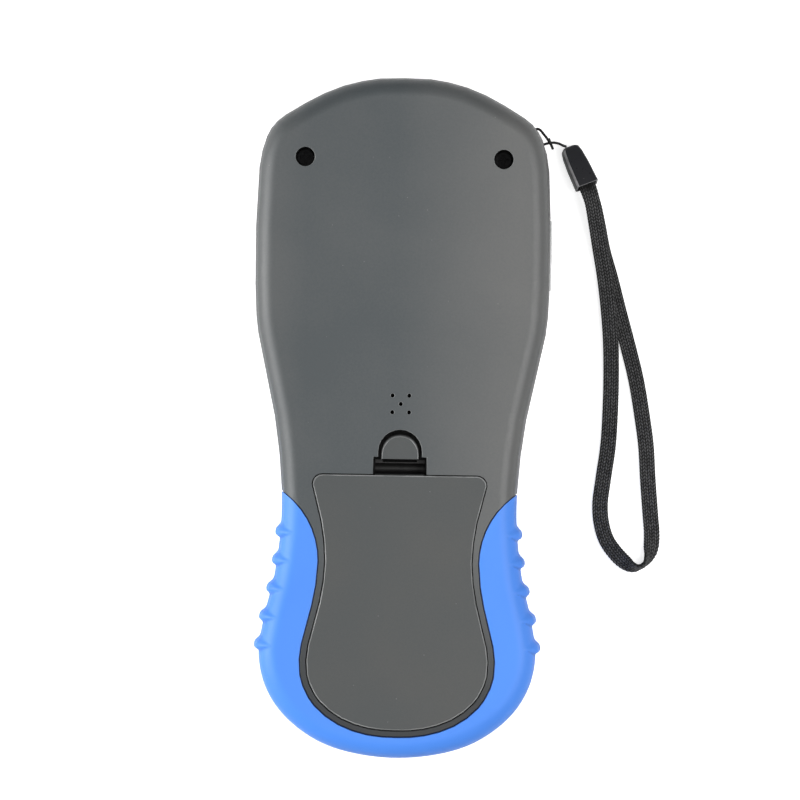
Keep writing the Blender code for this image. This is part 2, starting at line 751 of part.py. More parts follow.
def front_shell():
    shell = case_form("front_shell", 0, 0, BODY_DEPTH)
    rim = offset(body_outline(), -(SIDE_DRAFT + FRONT_SHOULDER + FRONT_RIM))
    cut(
        shell,
        above_block("Rear half", PARTING_HEIGHT - GAP / 2),
        *cavity_tools(),
        prism("Panel recess", rim, -BODY_LENGTH, PANEL_RECESS),
        sleeve_seat(),
    )
    pillar = pillar_place()
    low, high = CHANNEL_LOW - LINING_WALL, CHANNEL_HIGH + LINING_WALL
    lining = cylinder("Lining", pillar, CHANNEL_RADIUS + LINING_WALL, low, high, 28)
    keep_common(lining, case_form("Case", GAP / 3, 0, BODY_DEPTH))
    channel = cylinder("Channel", pillar, CHANNEL_RADIUS, CHANNEL_LOW, CHANNEL_HIGH, 28)
    cut(channel, cylinder("Pillar", pillar, PILLAR_RADIUS, 0, BODY_DEPTH, 14))
    join(shell, lining)
    cut(shell, channel)
    add_posts(shell)
    cut(
        shell,
        prism("Lens seat", lens_outline(GAP), -BODY_DEPTH, PANEL_RECESS + LENS_THICKNESS + GAP),
        prism("Window", lens_outline(-LENS_SEAT), -BODY_DEPTH, BODY_DEPTH / 4),
        port_recess(),
    )
    half = PORT_WINDOW / 2
    inner = (half_width(PORT_Y) - 2 * WALL, PORT_Y - half, PORT_SILL)
    cut(shell, box("Port window", inner, (BODY_LENGTH, PORT_Y + half, BODY_DEPTH)))
    for name, (_, shape) in key_shapes().items():
        cut(shell, prism(f"Hole for {name}", shape(GAP), -BODY_DEPTH, BODY_DEPTH / 4))
    return shell


def keys(look):
    face = PANEL_RECESS - KEY_PROUD
    flange_low = panel_inside() + GAP
    flange_high = flange_low + KEY_FLANGE_THICKNESS
    for name, (centre, shape) in key_shapes().items():
        rings = ring_at(
            shape,
            (face, -KEY_EDGE),
            (face + KEY_EDGE, 0),
            (flange_low, 0),
            (flange_low, KEY_FLANGE),
            (flange_high, KEY_FLANGE),
        )
        key = finish(loft(name, rings), look)
        set_origin(key, (*centre, face))


# One rib's section: along the case, then out of it, as shares of its width and rise, None where it roots
RIB_SECTION = (
    (0.6, None),
    (0.48, 0),
    (0.3, 0.55),
    (0.06, 0.96),
    (-0.14, 1),
    (-0.34, 0.74),
    (-0.46, 0.2),
    (-0.5, None),
)
# A rib's stations round the case's section: turn up from the side, share of its rise, share of its width
RIB_STATIONS = (
    (-70, -0.1, 0.2),
    (-36, 0.55, 0.7),
    (0, 1, 1),
    (20, 0.92, 0.85),
    (40, 0.6, 0.5),
    (60, -0.1, 0.1),
)
# Where the ribs come to their points, along the case as a share of their width
RIB_TIP_SHARE = -0.16


def rib_seats():
    """For each station: height, depth inside the outline, turn, and shares of rise and width."""
    seats = []
    for turn, rise, width in RIB_STATIONS:
        angle = math.radians(turn)
        shoulder = BACK_SHOULDER if turn >= 0 else FRONT_SHOULDER
        height = BODY_DEPTH - shoulder if turn >= 0 else shoulder
        depth = SIDE_DRAFT + shoulder * (1 - math.cos(angle))
        if turn == 0:
            seats.append((FRONT_SHOULDER, SIDE_DRAFT, 0, rise, width))
            seats.append((PARTING_HEIGHT, 0, 0, rise, width))
        seats.append((height + shoulder * math.sin(angle), depth, angle, rise, width))
    return seats


def rib(y, side):
    rings = []
    for height, depth, angle, rise, width in rib_seats():
        ring = []
        for along, out in RIB_SECTION:
            point_y = y + RIB_WIDTH * (RIB_TIP_SHARE + (along - RIB_TIP_SHARE) * width)
            lift = -SLEEVE_SIDE / 2 if out is None else RIB_RISE * rise * out
            x = half_width(point_y) - depth + math.cos(angle) * lift
            ring.append((side * x, point_y, height + math.sin(angle) * lift))
        rings.append(ring)
    return loft("Rib", rings)


def grip_sleeve():
    sleeve = sleeve_region("grip_sleeve", 0)
    keep_common(sleeve, case_form("Case", 0, 0, BODY_DEPTH))
    cut(sleeve, case_form("Inside", SLEEVE_SIDE, SLEEVE_FACE, BODY_DEPTH - SLEEVE_FACE))
    for i in range(RIB_COUNT):
        for side in (-1, 1):
            join(sleeve, rib(RIB_TOP_Y - i * RIB_PITCH, side))
    return sleeve


def spring_profile():
    """The latch's U-spring: down from the door's edge, round, and up again."""
    outer_y = SPRING_TOP_Y
    inner_y = DOOR_TOP_Y - SPRING_THICKNESS / 2
    middle_y = (outer_y + inner_y) / 2
    outer = (outer_y - inner_y) / 2
    middle_z = BODY_DEPTH - SPRING_DEPTH + outer
    profile = [(inner_y, BODY_DEPTH - DOOR_THICKNESS / 2)]
    for radius, way in ((outer, 1), (outer - SPRING_THICKNESS, -1)):
        for i in range(ARCH_STEPS + 1):
            angle = math.pi * (i / ARCH_STEPS)
            angle = math.pi + angle if way > 0 else math.tau - angle
            profile.append((middle_y + radius * math.cos(angle), middle_z + radius * math.sin(angle)))
        if way > 0:
            profile.append((outer_y, BODY_DEPTH - SPRING_TIP_DEPTH))
            profile.append((outer_y - SPRING_THICKNESS, BODY_DEPTH - SPRING_TIP_DEPTH))
    profile.append((inner_y + SPRING_THICKNESS, BODY_DEPTH - DOOR_THICKNESS / 2))
    return profile


def latch_neck():
    """Carries the pad on the spring's end, a little narrower than the pad."""
    root = BODY_DEPTH - SPRING_TIP_DEPTH
    tip = BODY_DEPTH - PAD_DROP - PAD_THICKNESS / 2
    inner_y, outer_y = PAD_BOTTOM_Y + SPRING_THICKNESS, PAD_BOTTOM_Y - GAP / 3
    profile = [
        (SPRING_TOP_Y, root - SPRING_THICKNESS),
        (inner_y, root + SPRING_THICKNESS / 2),
        (inner_y, tip),
        (outer_y, tip),
        (outer_y, root + SPRING_THICKNESS),
        (SPRING_TOP_Y - SPRING_THICKNESS, root - SPRING_THICKNESS / 3),
    ]
    half = PAD_WIDTH / 2 - GAP
    return side_prism("Neck", profile, -half, half)


def latch_pad():
    top = BODY_DEPTH - PAD_DROP
    wide = arch(PAD_WIDTH / 2 + GAP, PAD_TOP_Y + PAD_SLOPE, PAD_BOTTOM_Y)
    narrow = arch(PAD_WIDTH / 2, PAD_TOP_Y, PAD_BOTTOM_Y)
    return loft("Pad", [level(wide, top - PAD_THICKNESS), level(wide, top - PAD_SLOPE), level(narrow, top)])


def latch_nose():
    """The wedge under the pad that catches under the edge of the finger arch."""
    top = BODY_DEPTH - PAD_DROP - PAD_THICKNESS
    tip_y = ARCH_TOP_Y - NOSE_SPACE
    profile = [
        (tip_y - 3 * NOSE_DEPTH, top + PAD_THICKNESS / 4),
        (tip_y - 3 * NOSE_DEPTH, top - NOSE_DEPTH),
        (tip_y - NOSE_DEPTH, top - NOSE_DEPTH),
        (tip_y, top - NOSE_DEPTH / 4),
        (tip_y - NOSE_DEPTH, top + PAD_THICKNESS / 4),
    ]
    return side_prism("Nose", profile, -PAD_WIDTH / 4, PAD_WIDTH / 4)


def foot_tab(x):
    top = BODY_DEPTH - DOOR_THICKNESS - 2 * GAP
    root_y = DOOR_BOTTOM_Y + TAB_ROOT
    step_y = DOOR_BOTTOM_Y + TAB_ROOT / 2
    tip_y = DOOR_BOTTOM_Y - TAB_REACH
    profile = [
        (root_y, BODY_DEPTH - DOOR_THICKNESS / 2),
        (root_y, top - TAB_THICKNESS),
        (tip_y, top - TAB_THICKNESS),
        (tip_y, top),
        (step_y, top),
        (step_y, BODY_DEPTH - DOOR_THICKNESS / 2),
    ]
    return side_prism("Tab", profile, x - TAB_WIDTH / 2, x + TAB_WIDTH / 2)


def battery_door():
    outline = door_outline()
    low = BODY_DEPTH - DOOR_THICKNESS
    door = loft(
        "battery_door",
        [
            level(outline, low),
            level(outline, BODY_DEPTH - DOOR_EDGE),
            level(offset(outline, -DOOR_EDGE), BODY_DEPTH),
        ],
    )
    spring = side_prism("Spring", spring_profile(), -SPRING_WIDTH / 2, SPRING_WIDTH / 2)
    join(door, spring, latch_neck(), latch_pad(), latch_nose(), foot_tab(-TAB_X), foot_tab(TAB_X))
    return door


def lens(look):
    rings = ring_at(lens_outline, (PANEL_RECESS, 0), (PANEL_RECESS + LENS_THICKNESS, 0))
    finish(loft("display_lens", rings), look)


def display_module(look):
    centre = (0, (LENS_TOP_Y + LENS_BOTTOM_Y) / 2)
    width, height = LENS_WIDTH - 2 * MODULE_INSET, LENS_TOP_Y - LENS_BOTTOM_Y - 2 * MODULE_INSET
    outline = rounded(centre, width, height, MODULE_CORNER, 2)
    finish(prism("display_module", outline, panel_inside() + GAP, BOARD_HEIGHT - GAP), look)


def main_board(look):
    board = prism(
        "main_board", offset(body_outline(), -BOARD_INSET), BOARD_HEIGHT, BOARD_HEIGHT + BOARD_THICKNESS
    )
    for place in screw_places().values():
        post = SCREW_SHANK_RADIUS + GAP + POST_WALL + GAP
        cut(board, cylinder("Post room", place, post, 0, BODY_DEPTH, 16))
    for pair in board_posts():
        for place in both_sides(pair):
            cut(board, cylinder("Screw hole", place, BOARD_SCREW_RADIUS + GAP, 0, BODY_DEPTH, 12))
    room = CHANNEL_RADIUS + LINING_WALL + GAP
    cut(board, cylinder("Lining room", pillar_place(), room, 0, BODY_DEPTH, 28))
    finish(board, look)


def antenna(look):
    outline = rounded((0, ANTENNA_Y), ANTENNA_SIDE, ANTENNA_SIDE, ANTENNA_CORNER, 2)
    finish(prism("satellite_antenna", outline, panel_inside() + GAP, BOARD_HEIGHT - GAP), look)


def key_mat(look):
    centre = (0, (MAT_TOP_Y + MAT_BOTTOM_Y) / 2)
    outline = rounded(centre, MAT_WIDTH, MAT_TOP_Y - MAT_BOTTOM_Y, MAT_CORNER, 3)
    top = BOARD_HEIGHT - GAP
    finish(prism("key_mat", outline, top - MAT_THICKNESS, top), look)


def screw(name, place, seat, head, shank, length, look):
    """A pan-head screw with its head above the seat and its shank below."""
    head_radius, head_height = head
    turned = cylinder(name, place, head_radius, seat, seat + head_height, 14)
    rings = [
        level(circle(place, shank / 2, 10), seat - length),
        level(circle(place, shank, 10), seat - length + shank),
        level(circle(place, shank, 10), seat + head_height / 2),
    ]
    join(turned, loft("Shank", rings))
    driver = min(head_radius * 0.6, SCREW_CROSS)
    for across, along in ((driver, driver / 4), (driver / 4, driver)):
        low = (place[0] - across, place[1] - along, seat + head_height / 2)
        high = (place[0] + across, place[1] + along, seat + 2 * head_height)
        cut(turned, box("Cross", low, high))
    set_origin(turned, (*place, seat))
    finish(turned, look)


def screws(look):
    seat = PARTING_HEIGHT + GAP / 2 + BOSS_FLOOR + GAP
    for name, place in screw_places().items():
        head = (SCREW_HEAD_RADIUS, SCREW_HEAD_HEIGHT)
        screw(name, place, seat, head, SCREW_SHANK_RADIUS, SCREW_LENGTH, look)
    seat = BOARD_HEIGHT + BOARD_THICKNESS + GAP
    for zone, pair in zip(("upper", "lower"), board_posts()):
        for side, place in zip(("left", "right"), both_sides(pair)):
            head = (BOARD_SCREW_HEAD, BOARD_SCREW_HEAD * 0.6)
            name = f"board_screw_{zone}_{side}"
            screw(name, place, seat, head, BOARD_SCREW_RADIUS, BOARD_SCREW_LENGTH, look)


def port_parts(metal, cover_look):
    depth, width, height = SOCKET
    mouth = half_width(PORT_Y) - PORT_DEPTH - 2 * GAP
    low_z = BOARD_HEIGHT + BOARD_THICKNESS + GAP
    skin = SOCKET_SKIN
    low = (mouth - depth, PORT_Y - width / 2, low_z)
    socket = box("port_socket", low, (mouth, PORT_Y + width / 2, low_z + height))
    mouth_low = (mouth - depth * 0.6, PORT_Y - width / 2 + skin, low_z + skin)
    mouth_high = (mouth + depth, PORT_Y + width / 2 - skin, low_z + height - skin)
    cut(socket, box("Mouth", mouth_low, mouth_high))
    finish(socket, metal)
    half = PORT_LENGTH / 2 - GAP
    floor_x = half_width(PORT_Y) - PORT_DEPTH + GAP
    cover = box(
        "port_cover",
        (floor_x, PORT_Y - half, PORT_LOW + GAP),
        (BODY_LENGTH, PORT_Y + half, PORT_HIGH - GAP),
    )
    keep_common(cover, case_form("Case", -COVER_PROUD, 0, BODY_DEPTH))
    finish(cover, cover_look)
    hinge_y = PORT_Y + PORT_LENGTH / 2
    set_origin(cover, (half_width(hinge_y), hinge_y, (PORT_LOW + PORT_HIGH) / 2))


def buzzer(look):
    top = BODY_DEPTH - WALL - GAP
    body = cylinder("buzzer", (0, SOUND_Y), BUZZER_RADIUS, top - BUZZER_HEIGHT, top, 24)
    cut(body, cylinder("Mouth", (0, SOUND_Y), BUZZER_RADIUS / 4, top - BUZZER_HEIGHT / 2, BODY_DEPTH, 12))
    finish(body, look)


def cell(name, x, nub_up, look):
    """A battery cell along Y, its nub towards the head or towards the foot."""
    height = PARTING_HEIGHT - GAP + BAY_WALL + GAP + CELL_RADIUS
    nub_radius, nub_length = CELL_NUB
    plate = CONTACT_THICKNESS + 2 * GAP
    way = 1 if nub_up else -1
    tip_y = (BAY_TOP_Y - plate) if nub_up else (BAY_BOTTOM_Y + plate)
    stations = (
        (tip_y, nub_radius),
        (tip_y - way * nub_length, nub_radius),
        (tip_y - way * nub_length, CELL_RADIUS),
        (tip_y - way * (nub_length + CELL_LENGTH), CELL_RADIUS),
    )
    rings = [[(x + u, y, height + v) for u, v in circle((0, 0), radius, 24)] for y, radius in stations]
    made = loft(name, rings)
    finish(made, look)
    return tip_y - way * (nub_length + CELL_LENGTH), way, height


def contact_spring(name, x, cell_end, way, height, look):
    """A coil from the cell's flat end to its plate, widening as it goes."""
    plate_y = (BAY_BOTTOM_Y if way > 0 else BAY_TOP_Y) + way * (CONTACT_THICKNESS + 2 * GAP)
    start = cell_end - way * (GAP + CONTACT_WIRE)
    end = plate_y + way * CONTACT_WIRE
    count = CONTACT_TURNS * 10
    points = []
    for i in range(count + 1):
        share = i / count
        angle = math.tau * CONTACT_TURNS * share
        radius = CONTACT_TIP_RADIUS + (CONTACT_BASE_RADIUS - CONTACT_TIP_RADIUS) * share
        y = start + (end - start) * share
        points.append((x + radius * math.cos(angle), y, height + radius * math.sin(angle)))
    made = tube(name, points, CONTACT_WIRE, 1)
    made.data.materials.append(look)


def cells_and_contacts(cell_look, look):
    for side, x, nub_up in (("left", -CELL_X, True), ("right", CELL_X, False)):
        end, way, height = cell(f"battery_cell_{side}", x, nub_up, cell_look)
        contact_spring(f"contact_spring_{side}", x, end, way, height, look)
    thickness, half = CONTACT_THICKNESS, CELL_RADIUS - CONTACT_MARGIN
    for name, x, wide, y in (
        ("contact_plate_foot", 0, CELL_X + half, BAY_BOTTOM_Y + GAP),
        ("contact_plate_left", -CELL_X, half, BAY_TOP_Y - GAP - thickness),
        ("contact_plate_right", CELL_X, half, BAY_TOP_Y - GAP - thickness),
    ):
        plate = box(name, (x - wide, y, height - half), (x + wide, y + thickness, height + half))
        finish(plate, look)


def tube(name, points, radius, resolution):
    """A closed round tube along these points."""
    data = bpy.data.curves.new(name, "CURVE")
    data.dimensions = "3D"
    data.bevel_depth = radius
    data.bevel_resolution = resolution
    data.use_fill_caps = True
    spline = data.splines.new("POLY")
    spline.points.add(len(points) - 1)
    for spot, point in zip(spline.points, points):
        spot.co = (*point, 1)
    return add_object(name, data)


# The thin cord's route in millimetres, from behind the lanyard pillar's far side to the crimp:
# it hangs over its own other strand, goes round the pillar, and runs down to the crimp.
CORD_ROUTE = (
    (42.4, 83.1, 6.9),
    (43.0, 81.6, 6.6),
    (43.5, 80.3, 7.4),
    (43.5, 80.3, 8.9),
    (43.0, 81.3, 9.9),
    (42.2, 82.5, 10.4),
    (40.8, 84.3, 10.9),
    (39.5, 85.6, 11.0),
    (38.3, 85.6, 11.0),
    (36.9, 84.6, 11.0),
    (36.1, 82.9, 11.0),
    (36.7, 81.1, 11.0),
    (38.7, 80.3, 11.0),
    (41.0, 81.2, 10.5),
    (43.2, 81.8, 8.3),
    (45.2, 81.7, 6.2),
    (46.7, 81.1, 4.5),
)
# The braid's centreline in millimetres and its turn on edge in degrees: out of the crimp, down the
# upper strand, on edge round the foot of the loop, and back up under the upper strand.
BRAID_ROUTE = (
    (55.7, 64.0, 7.6, -8),
    (56.8, 58.3, 5.9, -3),
    (58.2, 50.5, 3.4, 0),
    (59.6, 42.7, 2.5, 0),
    (60.9, 32.7, 2.4, 0),
    (61.7, 23.3, 2.1, 0),
    (62.0, 12.1, 1.2, 0),
    (61.9, 3.3, 0.9, 0),
    (61.4, -7.3, 0.9, 0),
    (60.1, -17.3, 0.9, 0),
    (59.3, -24.7, 0.9, 0),
    (59.8, -30.3, 0.9, 0),
    (61.4, -35.2, 0.9, 0),
    (64.4, -39.3, 1.2, 10),
    (66.9, -41.6, 1.9, 28),
    (69.3, -42.9, 2.6, 55),
    (71.3, -42.9, 2.9, 80),
    (72.8, -41.9, 2.9, 80),
    (73.9, -39.8, 2.5, 55),
    (74.5, -37.2, 1.8, 25),
    (74.7, -33.3, 1.1, 5),
    (74.2, -27.4, 0.9, 0),
    (73.3, -17.1, 0.9, 0),
    (72.6, -7.1, 0.9, 0),
    (71.5, 0.5, 0.9, 0),
    (69.4, 12.2, 0.9, 0),
    (66.5, 23.4, 0.9, 0),
    (63.9, 32.7, 0.9, 0),
    (61.2, 42.7, 0.9, 0),
    (58.9, 50.4, 1.6, 0),
    (57.2, 58.3, 4.0, 3),
    (55.8, 64.0, 5.7, 8),
)


def crimp_frame():
    turn = Matrix.Rotation(math.radians(CRIMP_TURN), 4, "Z")
    pitch = Matrix.Rotation(-math.radians(CRIMP_PITCH), 4, "X")
    roll = Matrix.Rotation(math.radians(CRIMP_ROLL), 4, "Y")
    return Matrix.Translation(CRIMP_PLACE) @ turn @ pitch @ roll


def crimp(look):
    """The moulded cap that holds the cord and both ends of the braid: round at its top, open below."""
    half = CRIMP_LENGTH / 2
    width = BRAID_WIDTH + 2 * CRIMP_WALL + 2 * GAP
    height = 2 * BRAID_THICKNESS + 3 * GAP + 2 * CRIMP_WALL
    stations = ((1, 0.58, 0.62), (0.9, 0.75, 0.8), (0.6, 0.86, 0.9), (0, 0.95, 0.96), (-1, 1, 1))
    rings = []
    for along, wide, high in stations:
        outline = rounded((0, 0), width * wide, height * high, CRIMP_ROUND, 3)
        rings.append([(x, half * along, z) for x, z in outline])
    cap = loft("strap_crimp", rings)
    room = rounded((0, 0), width - 2 * CRIMP_WALL, height - 2 * CRIMP_WALL, CRIMP_ROUND / 2, 2)
    cut(cap, loft("Room", [[(x, y, z) for x, z in room] for y in (-CRIMP_LENGTH, -half + CRIMP_ROOM)]))
    cap.data.transform(crimp_frame())
    finish(cap, look)


def braid(look):
    frame = crimp_frame()
    mouth = -CRIMP_LENGTH / 2
    lift = (BRAID_THICKNESS + GAP) / 2
    ends = []
    for side in (1, -1):
        depths = (mouth + CRIMP_ROOM - GAP, mouth + BRAID_LEAD, mouth - BRAID_LEAD)
        ends.append([frame @ Vector((0, y, side * lift)) for y in depths])
    route = [*ends[0], *[MM * Vector(row[:3]) for row in BRAID_ROUTE], *reversed(ends[1])]
    turns = [-CRIMP_ROLL] * 3 + [row[3] for row in BRAID_ROUTE] + [CRIMP_ROLL] * 3
    line = smooth(route, BRAID_STEPS)
    rings = []
    for i, point in enumerate(line):
        before, after = line[max(i - 1, 0)], line[min(i + 1, len(line) - 1)]
        along = (after - before).normalized()
        across = along.cross(Vector((0, 0, 1))).normalized()
        first = min(i // BRAID_STEPS, len(turns) - 2)
        turn = turns[first] + (turns[first + 1] - turns[first]) * (i / BRAID_STEPS - first)
        across.rotate(Quaternion(along, math.radians(turn)))
        up = across.cross(along)
        rings.append([point + across * u + up * v for u, v in braid_section()])
    finish(loft("strap_braid", rings), look)


def braid_section():
    half = BRAID_THICKNESS / 2
    return rounded((0, 0), BRAID_WIDTH, BRAID_THICKNESS, half * 0.9, 1)


def cord(look):
    """The thin cord, from its knot round the pillar to the crimp's top."""
    end = crimp_frame() @ Vector((-CRIMP_LENGTH / 16, CRIMP_LENGTH / 2 + GAP + CORD_RADIUS, 0))
    route = [MM * Vector(row) for row in CORD_ROUTE]
    made = tube("strap_cord", smooth([*route, end], CORD_STEPS), CORD_RADIUS, 2)
    made.data.materials.append(look)


def main():
    clear_scene()
    grey = material("Grey shell", (0.115, 0.125, 0.125), 0.55)
    blue = material("Blue rubber", (0.09, 0.31, 0.93), 0.6)
    black = material("Black plastic", (0.015, 0.015, 0.016), 0.35)
    dark = material("Key plastic", (0.05, 0.05, 0.055), 0.5)
    glass = material("Clear lens", (0.03, 0.035, 0.04), 0.08)
    screen = material("Display", (0.35, 0.4, 0.36), 0.3)
    green = material("Circuit board", (0.02, 0.16, 0.07), 0.45)
    tan = material("Antenna ceramic", (0.55, 0.42, 0.28), 0.5)
    silicone = material("Silicone", (0.6, 0.62, 0.62), 0.6)
    steel = material("Plated steel", (0.6, 0.6, 0.58), 0.3, 1.0)
    webbing = material("Black braid", (0.02, 0.02, 0.021), 0.85)
    wrap = material("Cell wrap", (0.03, 0.03, 0.035), 0.35)
    finish(rear_shell(), grey)
    finish(front_shell(), grey)
    finish(grip_sleeve(), blue)
    door = finish(battery_door(), grey)
    set_origin(door, (0, DOOR_BOTTOM_Y, BODY_DEPTH))
    lens(glass)
    display_module(screen)
    main_board(green)
    antenna(tan)
    key_mat(silicone)
    keys(dark)
    screws(steel)
    port_parts(steel, silicone)
    buzzer(black)
    cells_and_contacts(wrap, steel)
    cord(webbing)
    crimp(black)
    braid(webbing)


main()
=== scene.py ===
import json
import math

import bmesh
import bpy
from mathutils import Matrix, Vector
from mathutils.kdtree import KDTree


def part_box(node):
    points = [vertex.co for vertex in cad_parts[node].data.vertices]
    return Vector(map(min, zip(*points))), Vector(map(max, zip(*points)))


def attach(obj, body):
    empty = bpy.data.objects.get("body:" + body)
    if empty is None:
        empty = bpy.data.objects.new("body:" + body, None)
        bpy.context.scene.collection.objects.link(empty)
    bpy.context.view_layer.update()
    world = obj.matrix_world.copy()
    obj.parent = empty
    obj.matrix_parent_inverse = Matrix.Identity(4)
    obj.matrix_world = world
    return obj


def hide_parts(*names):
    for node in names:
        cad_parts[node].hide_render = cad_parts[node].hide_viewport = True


mm = 0.001
gap = 0.3 * mm  # clearance between pieces that meet

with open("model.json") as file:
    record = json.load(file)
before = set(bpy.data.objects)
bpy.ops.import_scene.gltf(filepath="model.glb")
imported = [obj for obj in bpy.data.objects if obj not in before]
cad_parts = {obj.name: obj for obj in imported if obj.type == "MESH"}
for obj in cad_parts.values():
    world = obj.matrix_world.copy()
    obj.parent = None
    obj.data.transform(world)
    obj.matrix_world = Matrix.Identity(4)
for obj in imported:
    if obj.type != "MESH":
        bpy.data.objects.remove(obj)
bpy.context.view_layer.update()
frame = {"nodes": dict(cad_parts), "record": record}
nodes = frame["nodes"]
bodyOf = {node: body for body, members in frame["record"]["behaviour"]["bodies"].items() for node in members}
print("frame loaded:", len(nodes), "nodes")


def addObject(name, data):
    item = bpy.data.objects.new(name, data)
    bpy.context.scene.collection.objects.link(item)
    return item


# Camera: a long lens straight above the back

picture = {
    "width": 235.3 * mm,  # what the picture takes in, at the height of the case's widest edge
    "centre": (-0.26 * mm, 5.3 * mm, 15 * mm),
    "distance": 3.2,
    "roll": 0.88,
    "sensor": 36,
}


def addCamera():
    data = bpy.data.cameras.new("camera")
    data.sensor_width = picture["sensor"]
    data.lens = picture["sensor"] * picture["distance"] / picture["width"]
    data.clip_start, data.clip_end = 0.1, 20
    camera = addObject("camera", data)
    camera.location = Vector(picture["centre"]) + Vector((0, 0, picture["distance"]))
    camera.rotation_euler = (0, 0, math.radians(picture["roll"]))
    bpy.context.scene.camera = camera


addCamera()


# Small helpers for meshes

def meshFrom(name, form, turned=True):
    if turned:
        bmesh.ops.recalc_face_normals(form, faces=form.faces)
    mesh = bpy.data.meshes.new(name)
    form.to_mesh(mesh)
    form.free()
    return addObject(name, mesh)


def settled(item):
    # the evaluated shape becomes the object's own plain mesh
    graph = bpy.context.evaluated_depsgraph_get()
    made = bpy.data.meshes.new_from_object(item.evaluated_get(graph))
    item.modifiers.clear()
    old, item.data = item.data, made
    if old.users == 0:
        bpy.data.meshes.remove(old)
    return item


def shaded(item, angle=35):
    item.data.shade_smooth()
    item.data.set_sharp_from_angle(angle=math.radians(angle))
    return item


def evened(item):
    # wide flat faces keep their own direction, and the light turns only along the rounding beside them
    even = item.modifiers.new("Even", "WEIGHTED_NORMAL")
    even.keep_sharp = True
    return settled(item)


def painted(item, name, value):
    # a number at each corner of each face, from the corner's place and its face
    layer = item.data.attributes.new(name, "FLOAT", "CORNER")
    points = item.data.vertices
    for face in item.data.polygons:
        for corner, spot in zip(face.loop_indices, face.vertices):
            layer.data[corner].value = value(points[spot].co, face)
    return item


def joinRings(form, rows):
    # faces between rings of equal point counts, and a cap at each end
    for lower, upper in zip(rows, rows[1:]):
        for i in range(len(lower)):
            j = (i + 1) % len(lower)
            form.faces.new((lower[i], lower[j], upper[j], upper[i]))
    form.faces.new(rows[0])
    form.faces.new(rows[-1])


def clamped(value):
    return max(0.0, min(1.0, value))


def roundedBox(width, height, radius, steps=7):
    # a rectangle with round corners about the origin, anticlockwise
    points = []
    for k, (sx, sy) in enumerate(((1, 1), (-1, 1), (-1, -1), (1, -1))):
        x, y = sx * (width / 2 - radius), sy * (height / 2 - radius)
        for i in range(steps + 1):
            angle = math.pi / 2 * (k + i / steps)
            points.append((x + radius * math.cos(angle), y + radius * math.sin(angle)))
    return points


def curvePoint(a, b, c, d, share):
    # between b and c on the centripetal curve through all four
    first = math.sqrt((b - a).length)
    second = first + math.sqrt((c - b).length)
    third = second + math.sqrt((d - c).length)
    t = first + (second - first) * share
    ab = a.lerp(b, t / first)
    bc = b.lerp(c, (t - first) / (second - first))
    cd = c.lerp(d, (t - second) / (third - second))
    abc = ab.lerp(bc, t / second)
    bcd = bc.lerp(cd, (t - first) / (third - first))
    return abc.lerp(bcd, (t - first) / (second - first))


def smoothRun(points, steps):
    points = [Vector(p) for p in points]
    run = [2 * points[0] - points[1], *points, 2 * points[-1] - points[-2]]
    made = []
    for a, b, c, d in zip(run, run[1:], run[2:], run[3:]):
        made += [curvePoint(a, b, c, d, i / steps) for i in range(steps)]
    return [*made, points[-1]]


def evenRun(points, step):
    # the same line with points an equal distance apart, and each one's share along the given points
    lengths = [0.0]
    for a, b in zip(points, points[1:]):
        lengths.append(lengths[-1] + (b - a).length)
    count = max(2, round(lengths[-1] / step))
    made, k = [], 0
    for i in range(count + 1):
        at = lengths[-1] * i / count
        while k < len(points) - 2 and lengths[k + 1] < at:
            k += 1
        share = (at - lengths[k]) / (lengths[k + 1] - lengths[k])
        made.append((points[k].lerp(points[k + 1], share), k + share))
    return made


# Small helpers for node trees

def operator(operation, swapped=False):
    def work(self, other):
        return reckon(operation, other, self) if swapped else reckon(operation, self, other)
    return work


class Wire:
    # a node's output: sums written with it become math nodes, and the node's other outputs are its items
    def __init__(self, socket):
        self.socket, self.tree = socket, socket.id_data

    def __getitem__(self, key):
        return Wire(self.socket.node.outputs[key])

    def __abs__(self):
        return reckon("ABSOLUTE", self)

    __add__, __sub__, __mul__, __truediv__ = map(operator, ("ADD", "SUBTRACT", "MULTIPLY", "DIVIDE"))
    __rsub__, __rtruediv__ = operator("SUBTRACT", True), operator("DIVIDE", True)


def fill(node, inputs):
    # wires are linked, and plain values set
    for key, value in inputs.items():
        socket = node.inputs[key]
        if isinstance(value, Wire):
            value.tree.links.new(value.socket, socket)
        else:
            socket.default_value = (*value, 1) if socket.type == "RGBA" else value


def put(tree, kind, inputs=None, **settings):
    node = tree.nodes.new(kind)
    for key, value in settings.items():
        setattr(node, key, value)
    fill(node, inputs or {})
    return Wire(node.outputs[0])


def reckon(operation, *values):
    tree = next(value.tree for value in values if isinstance(value, Wire))
    return put(tree, "ShaderNodeMath", dict(enumerate(values)), operation=operation)


def spread(value, fromLow, fromHigh, toLow=0.0, toHigh=1.0):
    return put(value.tree, "ShaderNodeMapRange", {0: value, 1: fromLow, 2: fromHigh, 3: toLow, 4: toHigh})


def newTree(name, kind, inputs, outputs):
    # an input is given by its value, or by its kind where it has none
    tree = bpy.data.node_groups.new(name, kind)
    for title, value in inputs.items():
        socket = {float: "Float", int: "Int"}.get(type(value), value)
        made = tree.interface.new_socket(title, in_out="INPUT", socket_type=f"NodeSocket{socket}")
        if socket != value:
            made.default_value = value
    for title, socket in outputs.items():
        tree.interface.new_socket(title, in_out="OUTPUT", socket_type="NodeSocket" + socket)
    start, end = tree.nodes.new("NodeGroupInput"), tree.nodes.new("NodeGroupOutput")
    return tree, Wire(start.outputs[0]), end


